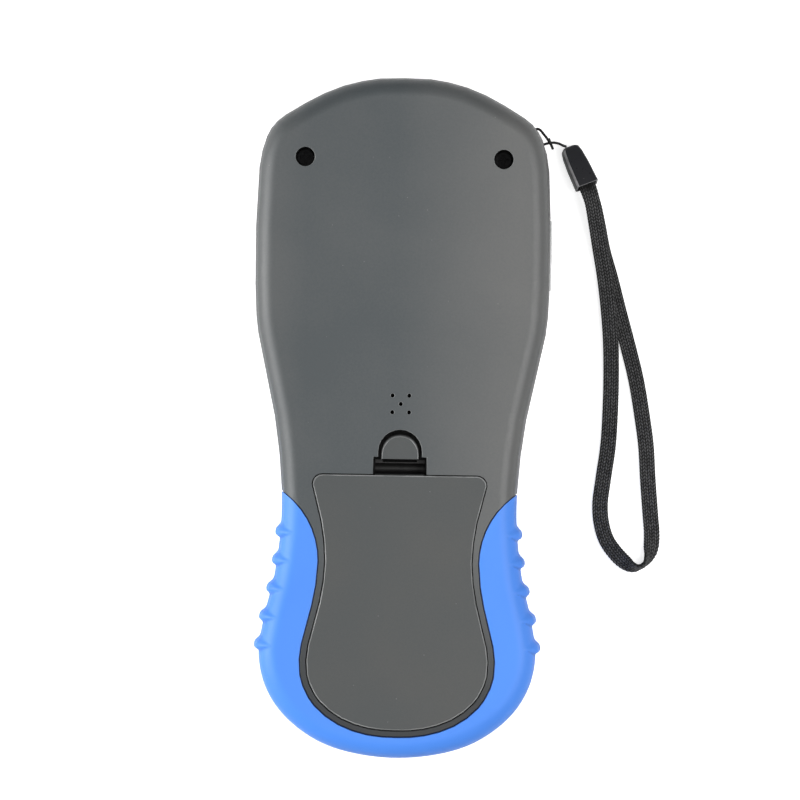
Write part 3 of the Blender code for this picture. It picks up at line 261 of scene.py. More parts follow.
def runTree(item, tree, values):
    # sets the named inputs by their identifiers, then keeps the result as a plain mesh
    change = item.modifiers.new(tree.name, "NODES")
    change.node_group = tree
    for socket in tree.interface.items_tree:
        if socket.item_type == "SOCKET" and socket.in_out == "INPUT" and socket.name in values:
            change[socket.identifier] = values[socket.name]
    return settled(item)


def kept(tree, name, kind="FLOAT"):
    # a value kept on the mesh under this name
    if tree.type == "SHADER":
        return put(tree, "ShaderNodeAttribute", attribute_name=name)["Fac"]
    return put(tree, "GeometryNodeInputNamedAttribute", {"Name": name}, data_type=kind)


def stored(shape, name, value):
    values = {"Geometry": shape, "Name": name, "Value": value}
    return put(shape.tree, "GeometryNodeStoreNamedAttribute", values, domain="POINT", data_type="FLOAT")


def pushed(shape, way, distance):
    offset = put(shape.tree, "ShaderNodeVectorMath", {0: way, "Scale": distance}, operation="SCALE")
    return put(shape.tree, "GeometryNodeSetPosition", {"Geometry": shape, "Offset": offset})


def closeTree(end, shape, finish):
    shape = put(shape.tree, "GeometryNodeRealizeInstances", {0: shape})
    fill(end, {0: put(shape.tree, "GeometryNodeSetMaterial", {"Geometry": shape, "Material": finish})})


def apart(place):
    return put(place.tree, "ShaderNodeSeparateXYZ", {0: place})


def noise(place, scale, detail, roughness=0.5):
    values = {"Vector": place, "Scale": scale, "Detail": detail, "Roughness": roughness}
    return put(place.tree, "ShaderNodeTexNoise", values)


def objectPlace(tree):
    return put(tree, "ShaderNodeTexCoord")["Object"]


# Effects that several finishes share

def makeGrain():
    # moulded grain: fine pits over a slow waviness, as a height, and a faint drift of shade
    inputs, outputs = {"Grain size": 0.5, "Drift size": 30.0}, {"Height": "Float", "Drift": "Float"}
    tree, start, end = newTree("mouldGrain", "ShaderNodeTree", inputs, outputs)
    place = objectPlace(tree)
    fine, slow = 1 / mm / start["Grain size"], 1 / mm / start["Drift size"]
    pits = noise(place, fine, 3.0, 0.6)
    cells = put(tree, "ShaderNodeTexVoronoi", {"Vector": place, "Scale": fine * 2.7}, feature="SMOOTH_F1")
    drift = noise(place, slow, 2.0)
    fill(end, {"Height": reckon("MULTIPLY_ADD", cells["Distance"], -0.35, pits), "Drift": drift})
    return tree


def makeEdgeHighlight():
    # painted highlight: the rounded edges, painted on each piece, are painted lighter, a little more in some
    # places than in others
    inputs = {"Patch size": 6.0, "Least": 0.55}
    tree, start, end = newTree("edgeWear", "ShaderNodeTree", inputs, {"Mask": "Float"})
    patches = noise(objectPlace(tree), 1 / mm / start["Patch size"], 4.0)
    fill(end, {"Mask": kept(tree, "edge") * spread(patches, 0.38, 0.6, start["Least"], 1.0)})
    return tree


def makeSpecks():
    # a few specks of dust
    tree, start, end = newTree("dustSpecks", "ShaderNodeTree", {"Spacing": 3.0}, {"Mask": "Float"})
    dense = 1 / mm / start["Spacing"]
    dots = put(tree, "ShaderNodeTexVoronoi", {"Vector": objectPlace(tree), "Scale": dense, "Randomness": 1.0})
    fill(end, {"Mask": spread(dots["Distance"], 0.035, 0.02)})
    return tree


grainGroup, edgeHighlightGroup, speckGroup = makeGrain(), makeEdgeHighlight(), makeSpecks()


def newMaterial(name):
    made = bpy.data.materials.new(name)
    made.use_nodes = True
    return made, made.node_tree


def newGrained(name, size, drift):
    made, tree = newMaterial(name)
    sizes = {"Grain size": size, "Drift size": drift}
    return made, tree, put(tree, "ShaderNodeGroup", sizes, node_tree=grainGroup)


def dressed(made, inputs):
    fill(made.node_tree.nodes["Principled BSDF"], inputs)
    return made


def blendColour(mask, first, second):
    return put(mask.tree, "ShaderNodeMix", {0: mask, 6: first, 7: second}, data_type="RGBA")[2]


def bumped(height, strength, distance):
    return put(height.tree, "ShaderNodeBump", {"Height": height, "Strength": strength, "Distance": distance})


# What a moulded finish takes: four linear tones (base, drift, painted edge highlight, painted deep shade),
# sizes in millimetres
plainMould = {"speckle": 0.5, "roughness": 0.5, "specular": 0.5, "grain": 0.4, "depth": 0.01, "bump": 0.4}
finishes = {
    "shellGrey": {
        "tones": ((0.061, 0.071, 0.076), (0.129, 0.13, 0.127), (0.22, 0.23, 0.23), (0.007, 0.007, 0.007)),
        "speckle": 0.3, "roughness": 0.44, "grain": 0.6, "depth": 0.022, "bump": 0.7,
        # painted light leaning across the case, and painted shade round the door's foot, sizes in millimetres
        "lean": 0.8, "leftLean": (-42, -28), "rightLean": (-2, 34),
        "foot": (0.026, 0.029, 0.032), "footFade": (-82, -38), "backFade": (20, 24),
    },
    "doorGrey": {
        "tones": ((0.061, 0.067, 0.068), (0.071, 0.073, 0.071), (0.34, 0.35, 0.35), (0.006, 0.006, 0.006)),
        "speckle": 1.2, "roughness": 0.46, "grain": 0.55, "depth": 0.022, "bump": 0.7,
    },
    "gripBlue": {
        "tones": ((0.072, 0.275, 0.9), (0.066, 0.26, 0.87), (0.13, 0.36, 0.95), (0.01, 0.035, 0.15)),
        "depth": 0.014, "bump": 0.5,
    },
    "keyBlack": {
        "tones": ((0.035, 0.036, 0.04), (0.043, 0.043, 0.045), (0.08, 0.08, 0.085), (0.01, 0.01, 0.01)),
    },
    "crimpBlack": {
        "tones": ((0.018, 0.0185, 0.022), (0.026, 0.026, 0.03), (0.4, 0.4, 0.41), (0.004, 0.004, 0.004)),
        "roughness": 0.3, "grain": 0.8, "depth": 0.008, "bump": 0.3,
    },
    "soundBlack": {
        "tones": ((0.0015, 0.0015, 0.0015), (0.002, 0.002, 0.002), (0.01, 0.01, 0.01), (0.001, 0.001, 0.001)),
        "roughness": 0.9, "specular": 0.05, "bump": 0.2,
    },
    "padWhite": {
        "tones": ((0.8, 0.81, 0.81), (0.74, 0.75, 0.75), (0.85, 0.86, 0.86), (0.3, 0.31, 0.31)),
        "roughness": 0.55, "depth": 0.008, "bump": 0.3,
    },
}
dust = {"colour": (0.45, 0.45, 0.44), "strength": 0.25, "spacing": 5.0}
marks = {  # millimetres
    "colour": (0.5, 0.51, 0.51), "line": 0.17, "soft": 0.04,
    "arrow": 0.95, "arrowSlope": 0.7, "arrowOut": 0.3, "ring": 1.25, "dash": 1.1,
}


def keyMarks(tree):
    # printed marks: an arrow on each way key, a ring and bar on the power key, a dash on the other four
    axes = apart(objectPlace(tree))

    def middle(key):
        low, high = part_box(key)
        return (low + high) / 2

    def off(key):
        # how far across and along from this key's middle
        return [abs((axes[i] - middle(key)[i]) * (1 / mm)) for i in (0, 1)]

    def under(value, limit):
        return spread(value - limit, -marks["soft"], marks["soft"], 1.0, 0.0)

    line, arrow = marks["line"], marks["arrow"]
    x, y = off("key_ok")
    along, across = reckon("MAXIMUM", x, y), reckon("MINIMUM", x, y)
    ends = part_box("key_up")[1].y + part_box("key_ok")[1].y
    far = (ends / 2 - middle("key_ok").y) / mm + marks["arrowOut"]
    tip = far + arrow - along
    arrows = under(far - arrow - along, 0.0) * under(across, tip * marks["arrowSlope"])
    x, y = off("key_power")
    upper = reckon("GREATER_THAN", axes[1], middle("key_power").y)
    ring = under(abs(reckon("SQRT", x * x + y * y) - marks["ring"]), line)
    ring = ring * (1.0 - upper * under(x, 3 * line))
    bar = upper * under(x, line) * under(y, marks["ring"] + line)
    mask = reckon("MAXIMUM", arrows, reckon("MAXIMUM", ring, bar))
    for key in ("key_upper_left", "key_upper_right", "key_lower_left", "key_lower_right"):
        x, y = off(key)
        mask = reckon("MAXIMUM", mask, under(x, marks["dash"]) * under(y, line))
    return mask * reckon("LESS_THAN", axes[2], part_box("key_ok")[0].z + 0.1 * mm)


def moulded(name):
    look = {**plainMould, **finishes[name]}
    base, drifted, highlightTone, shade = look["tones"]
    made, tree, grain = newGrained(name, look["grain"], 32.0)
    drift = spread(grain["Drift"], 0.3, 0.7)
    if "lean" in look:
        # painted light: the moulding's shade leans from one side of the case to the other, painted towards
        # its lighter drift tone on the right and a little at the left edge
        x, y, z = apart(objectPlace(tree))
        lean, left, right = look["lean"], Vector(look["leftLean"]) * mm, Vector(look["rightLean"]) * mm
        side = spread(x, *right, 0.0, lean) + spread(x, *left, lean / 2, 0.0)
        drift = reckon("MULTIPLY_ADD", drift, 1 - lean, side)
    drift = reckon("MULTIPLY_ADD", grain["Height"] - 0.42, look["speckle"], drift)
    colour = blendColour(drift, base, drifted)
    if "foot" in look:
        # painted shade: the narrow rim round the door's foot is painted darker
        foot, back = Vector(look["footFade"]) * mm, Vector(look["backFade"]) * mm
        low = spread(y, *foot, 1.0, 0.0) * spread(z, *back)
        colour = blendColour(low, colour, look["foot"])
    # painted highlight: the painted edges take the lighter edge tone
    colour = blendColour(put(tree, "ShaderNodeGroup", node_tree=edgeHighlightGroup), colour, highlightTone)
    if name == "keyBlack":
        colour = blendColour(keyMarks(tree), colour, marks["colour"])
    # painted shade: the deep paint takes the piece towards its shade tone
    colour = blendColour(kept(tree, "deep"), colour, shade)
    specks = put(tree, "ShaderNodeGroup", {"Spacing": dust["spacing"]}, node_tree=speckGroup)
    rough = look["roughness"]
    return dressed(made, {
        "Base Color": blendColour(specks * dust["strength"], colour, dust["colour"]),
        "Roughness": spread(grain["Height"], 0.2, 0.7, rough + 0.06, rough - 0.06),
        "Specular IOR Level": look["specular"],
        "Normal": bumped(grain["Height"], look["bump"], look["depth"] * mm),
    })


def paint(item, look):
    item.data.materials.clear()
    item.data.materials.append(look)
    return item


materials = {name: moulded(name) for name in finishes}
print("moulded finishes made:", len(materials))


# Wrist strap: a flat plaited band, the thin cord that ties it to the case, and the cap between them

strap = {
    "bandWidth": 5 * mm,
    "bandThickness": 1.2 * mm,
    "bandStep": 0.19 * mm,
    "bandWeave": {"Columns": 16, "Samples": 4, "Stitch length": 1 * mm, "Lean": 0.75, "Relief": 0.2 * mm},
    "cordRadius": 0.43 * mm,
    "cordStep": 0.1 * mm,
    "cordWeave": {"Columns": 8, "Samples": 4, "Stitch length": 0.6 * mm, "Lean": 0.5, "Relief": 0.05 * mm},
    "capLength": 13 * mm,
    "capWall": 0.65 * mm,
    "capRound": 0.9 * mm,
    "capRoom": 4 * mm,
    "capPlace": (51.2 * mm, 74.9 * mm, 5.2 * mm),
    "capTurns": {"Z": 25.5, "X": -16, "Y": 14},
    "mouthShade": 1.5 * mm,
}
# The cap's rings from its top to its mouth (along, wide, high), then its lip inwards (along, how far in)
capShape = (
    (1, 0.5, 0.54), (0.975, 0.6, 0.66), (0.9, 0.75, 0.8), (0.6, 0.86, 0.9), (0, 0.95, 0.96), (-0.96, 1, 1),
    (-0.99, 0.99, 0.985), (-1, 0.965, 0.95),
)
capLip = ((-1, 0.0), (-0.985, 0.12), (-0.4, 0.16))

# The cord's route in millimetres: its free loop end, round the pillar in the case's side, down to the cap
cordRoute = (
    (42.4, 83.1, 6.9), (43.0, 81.6, 6.6), (43.5, 80.3, 7.4), (43.5, 80.3, 8.9), (43.0, 81.3, 9.9),
    (42.2, 82.5, 10.4), (40.8, 84.3, 10.9), (39.5, 85.6, 11.0), (38.3, 85.6, 11.0), (36.9, 84.6, 11.0),
    (36.1, 82.9, 11.0), (36.7, 81.1, 11.0), (38.7, 80.3, 11.0), (41.0, 81.2, 10.5), (43.2, 81.8, 8.3),
    (45.2, 81.7, 6.2), (46.7, 81.1, 4.5),
)
# The band's middle line in millimetres, and its turn on edge in degrees
bandRoute = (
    (55.7, 64.0, 7.6, -8), (56.8, 58.3, 5.9, -3), (58.2, 50.5, 3.4, 0), (59.6, 42.7, 2.5, 0),
    (60.9, 32.7, 2.4, 0), (61.7, 23.3, 2.1, 0), (62.0, 12.1, 1.2, 0), (61.9, 3.3, 0.9, 0),
    (61.4, -7.3, 0.9, 0), (60.1, -17.3, 0.9, 0), (59.3, -24.7, 0.9, 0), (59.8, -30.3, 0.9, 0),
    (61.4, -35.2, 0.9, 0), (64.4, -39.3, 1.2, 10), (66.9, -41.6, 1.9, 28), (69.3, -42.9, 2.6, 55),
    (71.3, -42.9, 2.9, 80), (72.8, -41.9, 2.9, 80), (73.9, -39.8, 2.5, 55), (74.5, -37.2, 1.8, 25),
    (74.7, -33.3, 1.1, 5), (74.2, -27.4, 0.9, 0), (73.3, -17.1, 0.9, 0), (72.6, -7.1, 0.9, 0),
    (71.5, 0.5, 0.9, 0), (69.4, 12.2, 0.9, 0), (66.5, 23.4, 0.9, 0), (63.9, 32.7, 0.9, 0),
    (61.2, 42.7, 0.9, 0), (58.9, 50.4, 1.6, 0), (57.2, 58.3, 4.0, 3), (55.8, 64.0, 5.7, 8),
)


def capFrame():
    place = Matrix.Translation(strap["capPlace"])
    for axis, angle in strap["capTurns"].items():
        place = place @ Matrix.Rotation(math.radians(angle), 4, axis)
    return place


def makePlait():
    # a plaited band or cord swept along a line: slanted stitches in columns that lean in turn
    tree, start, end = newTree(
        "plaitedBand", "GeometryNodeTree",
        {
            "Line": "Geometry", "Width": 0.005, "Thickness": 0.0012, "Columns": 16, "Samples": 4,
            "Stitch length": 0.001, "Lean": 0.6, "Relief": 0.0001, "Finish": "Material",
        },
        {"Band": "Geometry"},
    )
    line = put(tree, "GeometryNodeMeshToCurve", {"Mesh": start["Line"]})
    line = put(tree, "GeometryNodeSetCurveNormal", {"Curve": line}, mode="Z_UP")
    line = put(tree, "GeometryNodeSetCurveTilt", {"Curve": line, "Tilt": kept(tree, "turn")})
    line = stored(line, "along", put(tree, "GeometryNodeSplineParameter")["Length"])
    count, radius = start["Columns"] * start["Samples"], start["Thickness"] * 0.5
    ring = put(tree, "GeometryNodeCurvePrimitiveCircle", {"Resolution": count, "Radius": radius})
    # the circle's points are slid apart across the band, evenly round its edge line
    step = put(tree, "GeometryNodeSplineParameter")["Factor"]
    across = (0.5 - reckon("PINGPONG", step * 2.0, 1.0)) * start["Width"]
    inside = abs(across) - (start["Width"] - start["Thickness"]) * 0.5
    inside = reckon("MAXIMUM", inside, 0.0) / radius
    up = reckon("SQRT", 1.0 - inside * inside) * radius * reckon("SIGN", 0.5 - step)
    level = apart(put(tree, "GeometryNodeInputPosition"))[2]
    flat = put(tree, "ShaderNodeCombineXYZ", {0: across, 1: up, 2: level})
    ring = stored(put(tree, "GeometryNodeSetPosition", {"Geometry": ring, "Position": flat}), "round", step)
    band = put(tree, "GeometryNodeCurveToMesh", {"Curve": line, "Profile Curve": ring, "Fill Caps": True})
    column = kept(tree, "round") * start["Columns"]
    share = reckon("FRACT", column)
    odd = reckon("MODULO", reckon("FLOOR", column), 2.0)
    lean = reckon("MULTIPLY_ADD", odd, 2.0, -1.0) * start["Lean"]
    row = reckon("MULTIPLY_ADD", share, lean, kept(tree, "along") / start["Stitch length"])
    row = reckon("MULTIPLY_ADD", odd, 0.5, row)
    swell, ridge = abs(reckon("SINE", row * math.pi)), reckon("SINE", share * math.pi)
    stitch = reckon("POWER", swell, 0.6) * reckon("POWER", ridge, 0.5)
    cell = put(tree, "ShaderNodeCombineXYZ", {0: reckon("FLOOR", column), 1: reckon("FLOOR", row)})
    tone = put(tree, "ShaderNodeTexWhiteNoise", {"Vector": cell}, noise_dimensions="2D")["Value"]
    band = stored(band, "stitch", stitch * spread(tone, 0.0, 1.0, 0.72, 1.0))
    band = pushed(band, put(tree, "GeometryNodeInputNormal"), (stitch - 1.0) * start["Relief"])
    closeTree(end, band, start["Finish"])
    return tree


def makeYarn(name, dark, light):
    # polyester yarn: painted shade between the stitches and at the cap's mouth, painted sheen on the
    # stitches, fine filaments along them
    made, tree = newMaterial(name)
    stitch, along, about, mouth = [kept(tree, layer) for layer in ("stitch", "along", "round", "deep")]
    place = put(tree, "ShaderNodeCombineXYZ", {0: along * 900.0, 1: about * 110.0})
    strands = noise(place, 1.6, 4.0)
    lit = spread(stitch, 0.35, 0.8) * spread(strands, 0.3, 0.7, 0.5, 1.0) * (1.0 - mouth)
    return dressed(made, {
        "Base Color": blendColour(lit, dark, light),
        "Roughness": spread(strands, 0.3, 0.7, 0.62, 0.85),
        "Normal": bumped(reckon("MULTIPLY_ADD", strands, 0.5, stitch), 0.7, 0.05 * mm),
        "Specular IOR Level": 0.25,
        "Sheen Weight": 0.1,
        "Sheen Roughness": 0.5,
    })


def plaited(name, line, turns, width, thickness, weave, finish):
    form = bmesh.new()
    turn = form.verts.layers.float.new("turn")
    spots = [form.verts.new(point) for point in line]
    for spot, angle in zip(spots, turns):
        spot[turn] = angle
    for a, b in zip(spots, spots[1:]):
        form.edges.new((a, b))
    values = {**weave, "Width": width, "Thickness": thickness, "Finish": finish}
    item = runTree(meshFrom(name, form, turned=False), plait, values)
    item.data.shade_smooth()
    return item


plait = makePlait()
yarn = makeYarn("strapYarn", (0.002, 0.002, 0.002), (0.135, 0.135, 0.137))
cordYarn = makeYarn("cordYarn", (0.006, 0.006, 0.0065), (0.022, 0.022, 0.023))


def makeBand():
    place = capFrame()
    mouth = -strap["capLength"] / 2
    lift = (strap["bandThickness"] + gap) / 2
    depths = (mouth + strap["capRoom"] - gap, mouth + 1 * mm, mouth - 1 * mm)
    first = [place @ Vector((0, y, lift)) for y in depths]
    last = [place @ Vector((0, y, -lift)) for y in reversed(depths)]
    route = [*first, *[mm * Vector(row[:3]) for row in bandRoute], *last]
    roll = strap["capTurns"]["Y"]
    turns = [-roll] * 3 + [row[3] for row in bandRoute] + [roll] * 3
    steps = 12
    run = evenRun(smoothRun(route, steps), strap["bandStep"])
    line, angles = [point for point, _ in run], []
    for _, share in run:
        at = min(share / steps, len(turns) - 1)
        low = min(int(at), len(turns) - 2)
        angles.append(math.radians(turns[low] + (turns[low + 1] - turns[low]) * (at - low)))
    width, thickness = strap["bandWidth"], strap["bandThickness"]
    made = plaited("strapBand", line, angles, width, thickness, strap["bandWeave"], yarn)
    opening = place @ Vector((0, mouth, 0))
    # dark in the shade of the cap's mouth
    painted(made, "deep", lambda co, face: clamped(2.1 - (co - opening).length / strap["mouthShade"]))
    return made, line


def makeCord():
    radius, length = strap["cordRadius"], strap["capLength"]
    end = capFrame() @ Vector((-length / 16, length / 2 + gap + radius, 0))
    route = [mm * Vector(row) for row in cordRoute]
    line = [point for point, _ in evenRun(smoothRun([*route, end], 10), strap["cordStep"])]
    width = 2 * radius + 0.001 * mm  # a band as wide as it is thick is round
    turns = [0.0] * len(line)
    return plaited("strapCord", line, turns, width, 2 * radius, strap["cordWeave"], cordYarn), line


def makeCap():
    # round at its top, where the cord comes in, and open below with a rolled lip
    half, wall, corner = strap["capLength"] / 2, strap["capWall"], strap["capRound"]
    width = strap["bandWidth"] + 2 * wall + 2 * gap
    height = 2 * strap["bandThickness"] + 3 * gap + 2 * wall
    sections = [(along, width * wide, height * high, corner) for along, wide, high in capShape]
    for along, inset in capLip:
        inwards = 1.5 * wall + inset * 2 * mm
        sections.append((along, width - inwards, height - inwards, corner * 0.6))
    form = bmesh.new()
    joinRings(form, [
        [form.verts.new((x, half * along, z)) for x, z in roundedBox(wide, high, radius)]
        for along, wide, high, radius in sections
    ])
    made = meshFrom("strapCap", form)
    place = capFrame()
    made.data.transform(place)
    made.data.update()
    way, back, rim = place.to_3x3(), place.inverted(), half / mm - 0.2

    def capEdge(co, face):
        # the corner towards the case and the rim of the mouth catch the light
        normal, spot = face.normal @ way, back @ co / mm
        if normal.x < -0.3 and normal.z > 0.3 and abs(spot.y) < rim:
            return 1.0
        return 0.5 if normal.y < -0.2 and spot.y < -rim and spot.z > 0 else 0.0

    painted(made, "edge", capEdge)
    # painted shade: the cap's left flank is painted darker
    painted(made, "deep", lambda co, face: 0.7 if (face.normal @ way).x < -0.93 else 0.0)
    return paint(shaded(made, 40), materials["crimpBlack"])


band, bandLine = makeBand()
cord, cordLine = makeCord()
cap = makeCap()
for piece, node in ((band, "strap_braid"), (cord, "strap_cord"), (cap, "strap_crimp")):
    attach(piece, "body")
    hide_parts(node)


def lengthOf(line):
    return sum((b - a).length for a, b in zip(line, line[1:]))


lengthOf(cordLine)
lengthOf(bandLine)
bandLength, cordLength = lengthOf(bandLine) / mm, lengthOf(cordLine) / mm
print("strap made:", round(bandLength), "mm of band,", round(cordLength), "mm of cord")


# Floor and light

light = {
    "floor": (0.93, 0.93, 0.93),
    "floorHalf": 6,
    "floorDrop": 0.05 * mm,
    "glow": 0.68,  # keeps the paper pale beside the case
    "sky": 0.36,
    "headSky": 0.12,  # the room is darker beyond the head
    "lamps": (
        # name, place, aim, size, power
        ("leftSoft", (-1.1, 0.0, 0.36), (0, 0, 0), (0.45, 1.3), 17.0),
        ("rightSoft", (0.42, -0.02, 0.62), (0.02, 0, 0), (0.3, 0.5), 3.0),
        ("topSoft", (0.0, -0.2, 2.2), (0, 0, 0), (1.8, 1.8), 6.0),
    ),
}


def addLight():
    world = bpy.data.worlds.new("studio")
    world.use_nodes = True
    tree = world.node_tree
    towardsHead = apart(put(tree, "ShaderNodeTexCoord")["Generated"])[1]
    strength = spread(towardsHead, -0.1, 0.7, light["sky"], light["headSky"])
    fill(tree.nodes["Background"], {"Color": (1, 1, 1), "Strength": strength})
    bpy.context.scene.world = world
    for name, place, aim, size, power in light["lamps"]:
        data = bpy.data.lights.new(name, "AREA")
        data.shape = "RECTANGLE"
        data.size, data.size_y = size
        data.energy = power
        lamp = addObject(name, data)
        lamp.location = place
        lamp.rotation_euler = (Vector(aim) - Vector(place)).to_track_quat("-Z", "Y").to_euler()
        lamp.visible_camera = False
    bpy.context.scene.view_settings.view_transform = "Standard"


def addFloor():
    form = bmesh.new()
    bmesh.ops.create_grid(form, x_segments=2, y_segments=2, size=light["floorHalf"])
    floor = meshFrom("floor", form)
    floor.location.z = -light["floorDrop"]
    made, tree = newMaterial("palePaper")
    fibre = noise(objectPlace(tree), 900.0, 3.0)
    paint(floor, dressed(made, {
        "Normal": bumped(fibre, 0.05, 0.02 * mm),
        "Base Color": light["floor"],
        "Roughness": 0.9,
        "Specular IOR Level": 0.1,
        "Emission Color": (1, 1, 1),
        "Emission Strength": put(tree, "ShaderNodeLightPath")["Is Camera Ray"] * light["glow"],
    }))


addLight()
addFloor()
print("floor and light placed")


# Finishes that aren't moulded plastic

metals = {  # grain and drift sizes and depth in millimetres
    "platedSteel": {
        "dark": (0.42, 0.41, 0.39), "light": (0.56, 0.55, 0.53), "roughness": (0.25, 0.42), "metallic": 1.0,
        "grain": 0.25, "drift": 6.0, "depth": 0.005,
    },
    "blackedSteel": {
        "dark": (0.012, 0.012, 0.013), "light": (0.03, 0.03, 0.031), "roughness": (0.4, 0.4), "metallic": 0.8,
        "grain": 0.3, "drift": 5.0, "depth": 0.006,
    },
}


def makeMetal(name):
    look = metals[name]
    made, tree, grain = newGrained(name, look["grain"], look["drift"])
    return dressed(made, {
        "Base Color": blendColour(grain["Drift"], look["dark"], look["light"]),
        "Roughness": spread(grain["Height"], 0.2, 0.7, *look["roughness"]),
        "Normal": bumped(grain["Height"], 0.2, look["depth"] * mm),
        "Metallic": look["metallic"],
    })


def insideNode(tree, node, inset):
    # one inside a solid's outline from above, drawn in by the inset, and nought beyond it
    low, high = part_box(node)
    near = []
    for axis, a, b in zip(apart(objectPlace(tree)), low[:2], high[:2]):
        half = (b - a) / 2 - inset
        near.append(spread(abs(axis - (a + b) / 2), half, half + 0.05 * mm, 1.0, 0.0))
    return near[0] * near[1]


def makeScreen():
    # liquid crystal panel: grey-green glass with a faint grid of dots, in a pressed metal frame
    made, tree, grain = newGrained("liquidCrystal", 0.3, 24.0)
    glass = insideNode(tree, "display_module", 3.5 * mm)
    x, y, z = apart(objectPlace(tree))
    across, along = [
        spread(abs(reckon("FRACT", axis * (1000 / 0.48)) - 0.5), 0.38, 0.46, 1.0, 0.0) for axis in (x, y)
    ]
    panel = blendColour(across * along * 0.35, (0.3, 0.36, 0.3), (0.22, 0.27, 0.23))
    panel = blendColour(grain["Drift"] * 0.3, panel, (0.36, 0.4, 0.33))
    return dressed(made, {
        "Base Color": blendColour(glass, (0.5, 0.5, 0.49), panel),
        "Metallic": spread(glass, 0.0, 1.0, 1.0, 0.0),
        "Roughness": spread(glass, 0.0, 1.0, 0.35, 0.18),
    })


def makeLens():
    made, tree, grain = newGrained("clearLens", 1.2, 30.0)
    return dressed(made, {
        "Base Color": (0.93, 0.95, 0.95),
        "Roughness": spread(grain["Height"], 0.2, 0.8, 0.015, 0.04),
        "Normal": bumped(grain["Drift"], 0.05, 0.02 * mm),
        "Transmission Weight": 1.0,
        "IOR": 1.49,
    })


def makeBoard():
    # green solder mask over copper tracks, with bare pads
    made, tree = newMaterial("circuitBoard")
    place = objectPlace(tree)
    lines = {"Vector": place, "Scale": 260.0, "Mortar Size": 0.035, "Mortar Smooth": 0.1, "Bias": 0.0}
    tracks = put(tree, "ShaderNodeTexBrick", lines)["Fac"]
    pads = put(tree, "ShaderNodeTexVoronoi", {"Vector": place, "Scale": 330.0})["Distance"]
    pad = spread(pads, 0.16, 0.13)
    green = blendColour(tracks, (0.012, 0.13, 0.05), (0.03, 0.24, 0.09))
    return dressed(made, {
        "Base Color": blendColour(pad, green, (0.62, 0.55, 0.36)),
        "Metallic": pad,
        "Normal": bumped(tracks + pad, 0.4, 0.02 * mm),
        "Roughness": 0.32,
    })


def makeCeramic():
    made, tree, grain = newGrained("antennaCeramic", 0.3, 5.0)
    silver = insideNode(tree, "satellite_antenna", 2.5 * mm)
    tan = blendColour(grain["Drift"], (0.5, 0.38, 0.25), (0.6, 0.47, 0.33))
    return dressed(made, {
        "Base Color": blendColour(silver, tan, (0.7, 0.7, 0.68)),
        "Metallic": silver,
        "Normal": bumped(grain["Height"], 0.3, 0.01 * mm),
        "Roughness": 0.45,
    })


# where a cell's wrap and its copper band end, in metres from the nub's end
cellMarks = {"bare": (0.0019, 0.0018), "bareEnd": (0.0498, 0.0499), "band": (0.0128, 0.0127)}


def makeCell(name, nubUp):
    # a dark printed wrap with a copper band, bare steel at both ends
    low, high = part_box(f"battery_cell_{name}")
    made, tree, grain = newGrained(f"cellWrap{name.title()}", 0.6, 9.0)
    y = apart(objectPlace(tree))[1]
    fromNub = high.y - y if nubUp else y - low.y
    bare = spread(fromNub, *cellMarks["bare"]) + spread(fromNub, *cellMarks["bareEnd"])
    copper = spread(fromNub, *cellMarks["band"])
    wrap = blendColour(copper, (0.016, 0.016, 0.018), (0.42, 0.2, 0.09))
    wrap = blendColour(grain["Drift"] * 0.2, wrap, (0.08, 0.07, 0.07))
    return dressed(made, {
        "Base Color": blendColour(bare, wrap, (0.6, 0.6, 0.58)),
        "Metallic": reckon("MAXIMUM", bare, copper * 0.7),
        "Normal": bumped(grain["Height"], 0.15, 0.01 * mm),
        "Roughness": 0.28,
    })


materials.update(
    steel=makeMetal("platedSteel"), darkSteel=makeMetal("blackedSteel"), screen=makeScreen(), lens=makeLens(),
    board=makeBoard(), ceramic=makeCeramic(),
    cellLeft=makeCell("left", True), cellRight=makeCell("right", False),
)
print("other finishes made:", len(materials), "in all")


# The grip sleeve: a rubber skin round the lower case, from one horn's tip to the other, with finger ribs

case = {  # millimetres, as the frame's solids are
    "head": 100, "headHalf": 43.4, "crown": 78, "neck": 45, "waist": (34.6, -30), "hip": (40.7, -70),
    "foot": -100, "depth": 34, "parting": 15, "backShoulder": 5, "frontShoulder": 3, "draft": 0.7,
}
# Which way each face looks, the radius of its shoulder, and its height
caseSides = ((1, case["backShoulder"], case["depth"]), (-1, case["frontShoulder"], 0))
crownShares = ((0, 0), (0.21, 0.018), (0.46, 0.141), (0.714, 0.395), (0.887, 0.645), (0.965, 1))
neckShares = ((0, 0), (0.09, 0.24), (0.386, 0.413), (0.727, 0.6), (0.955, 0.813), (1, 1))
thighShares = ((0.279, 0.4), (0.787, 0.7375), (1, 1))
heelShares = ((0.943, 0.333), (0.789, 0.627), (0.491, 0.887), (0, 1))
doorHipShares = ((0.157, 0.294), (0.549, 0.598), (0.902, 0.834), (1, 1))
doorHeelShares = ((0.974, 0.263), (0.849, 0.572), (0.604, 0.83), (0.302, 0.969), (0, 1))
door = {"waist": (21.4, -42.3), "hip": (26.5, -71.9), "foot": -91.3, "rim": 2.2}
sleeve = {
    "hornRadius": 24.5, "top": -19.6, "start": -15, "step": 0.4,
    "grow": 0.15, "seat": 0.25,  # how far its edge, and the wall below, go over the frame's sleeve
    "edgeRound": 0.3, "side": 1.7, "face": 1.3, "least": 0.3, "narrow": 0.1,
    "rows": {"flat": 5, "bend": 14, "side": 12, "edge": 4},
    "ribs": {"Count": 5, "Top": -33.4, "Pitch": 8.3, "Width": 4.4, "Rise": 1.5, "Tip": -0.16, "Crease": 0.3},
}
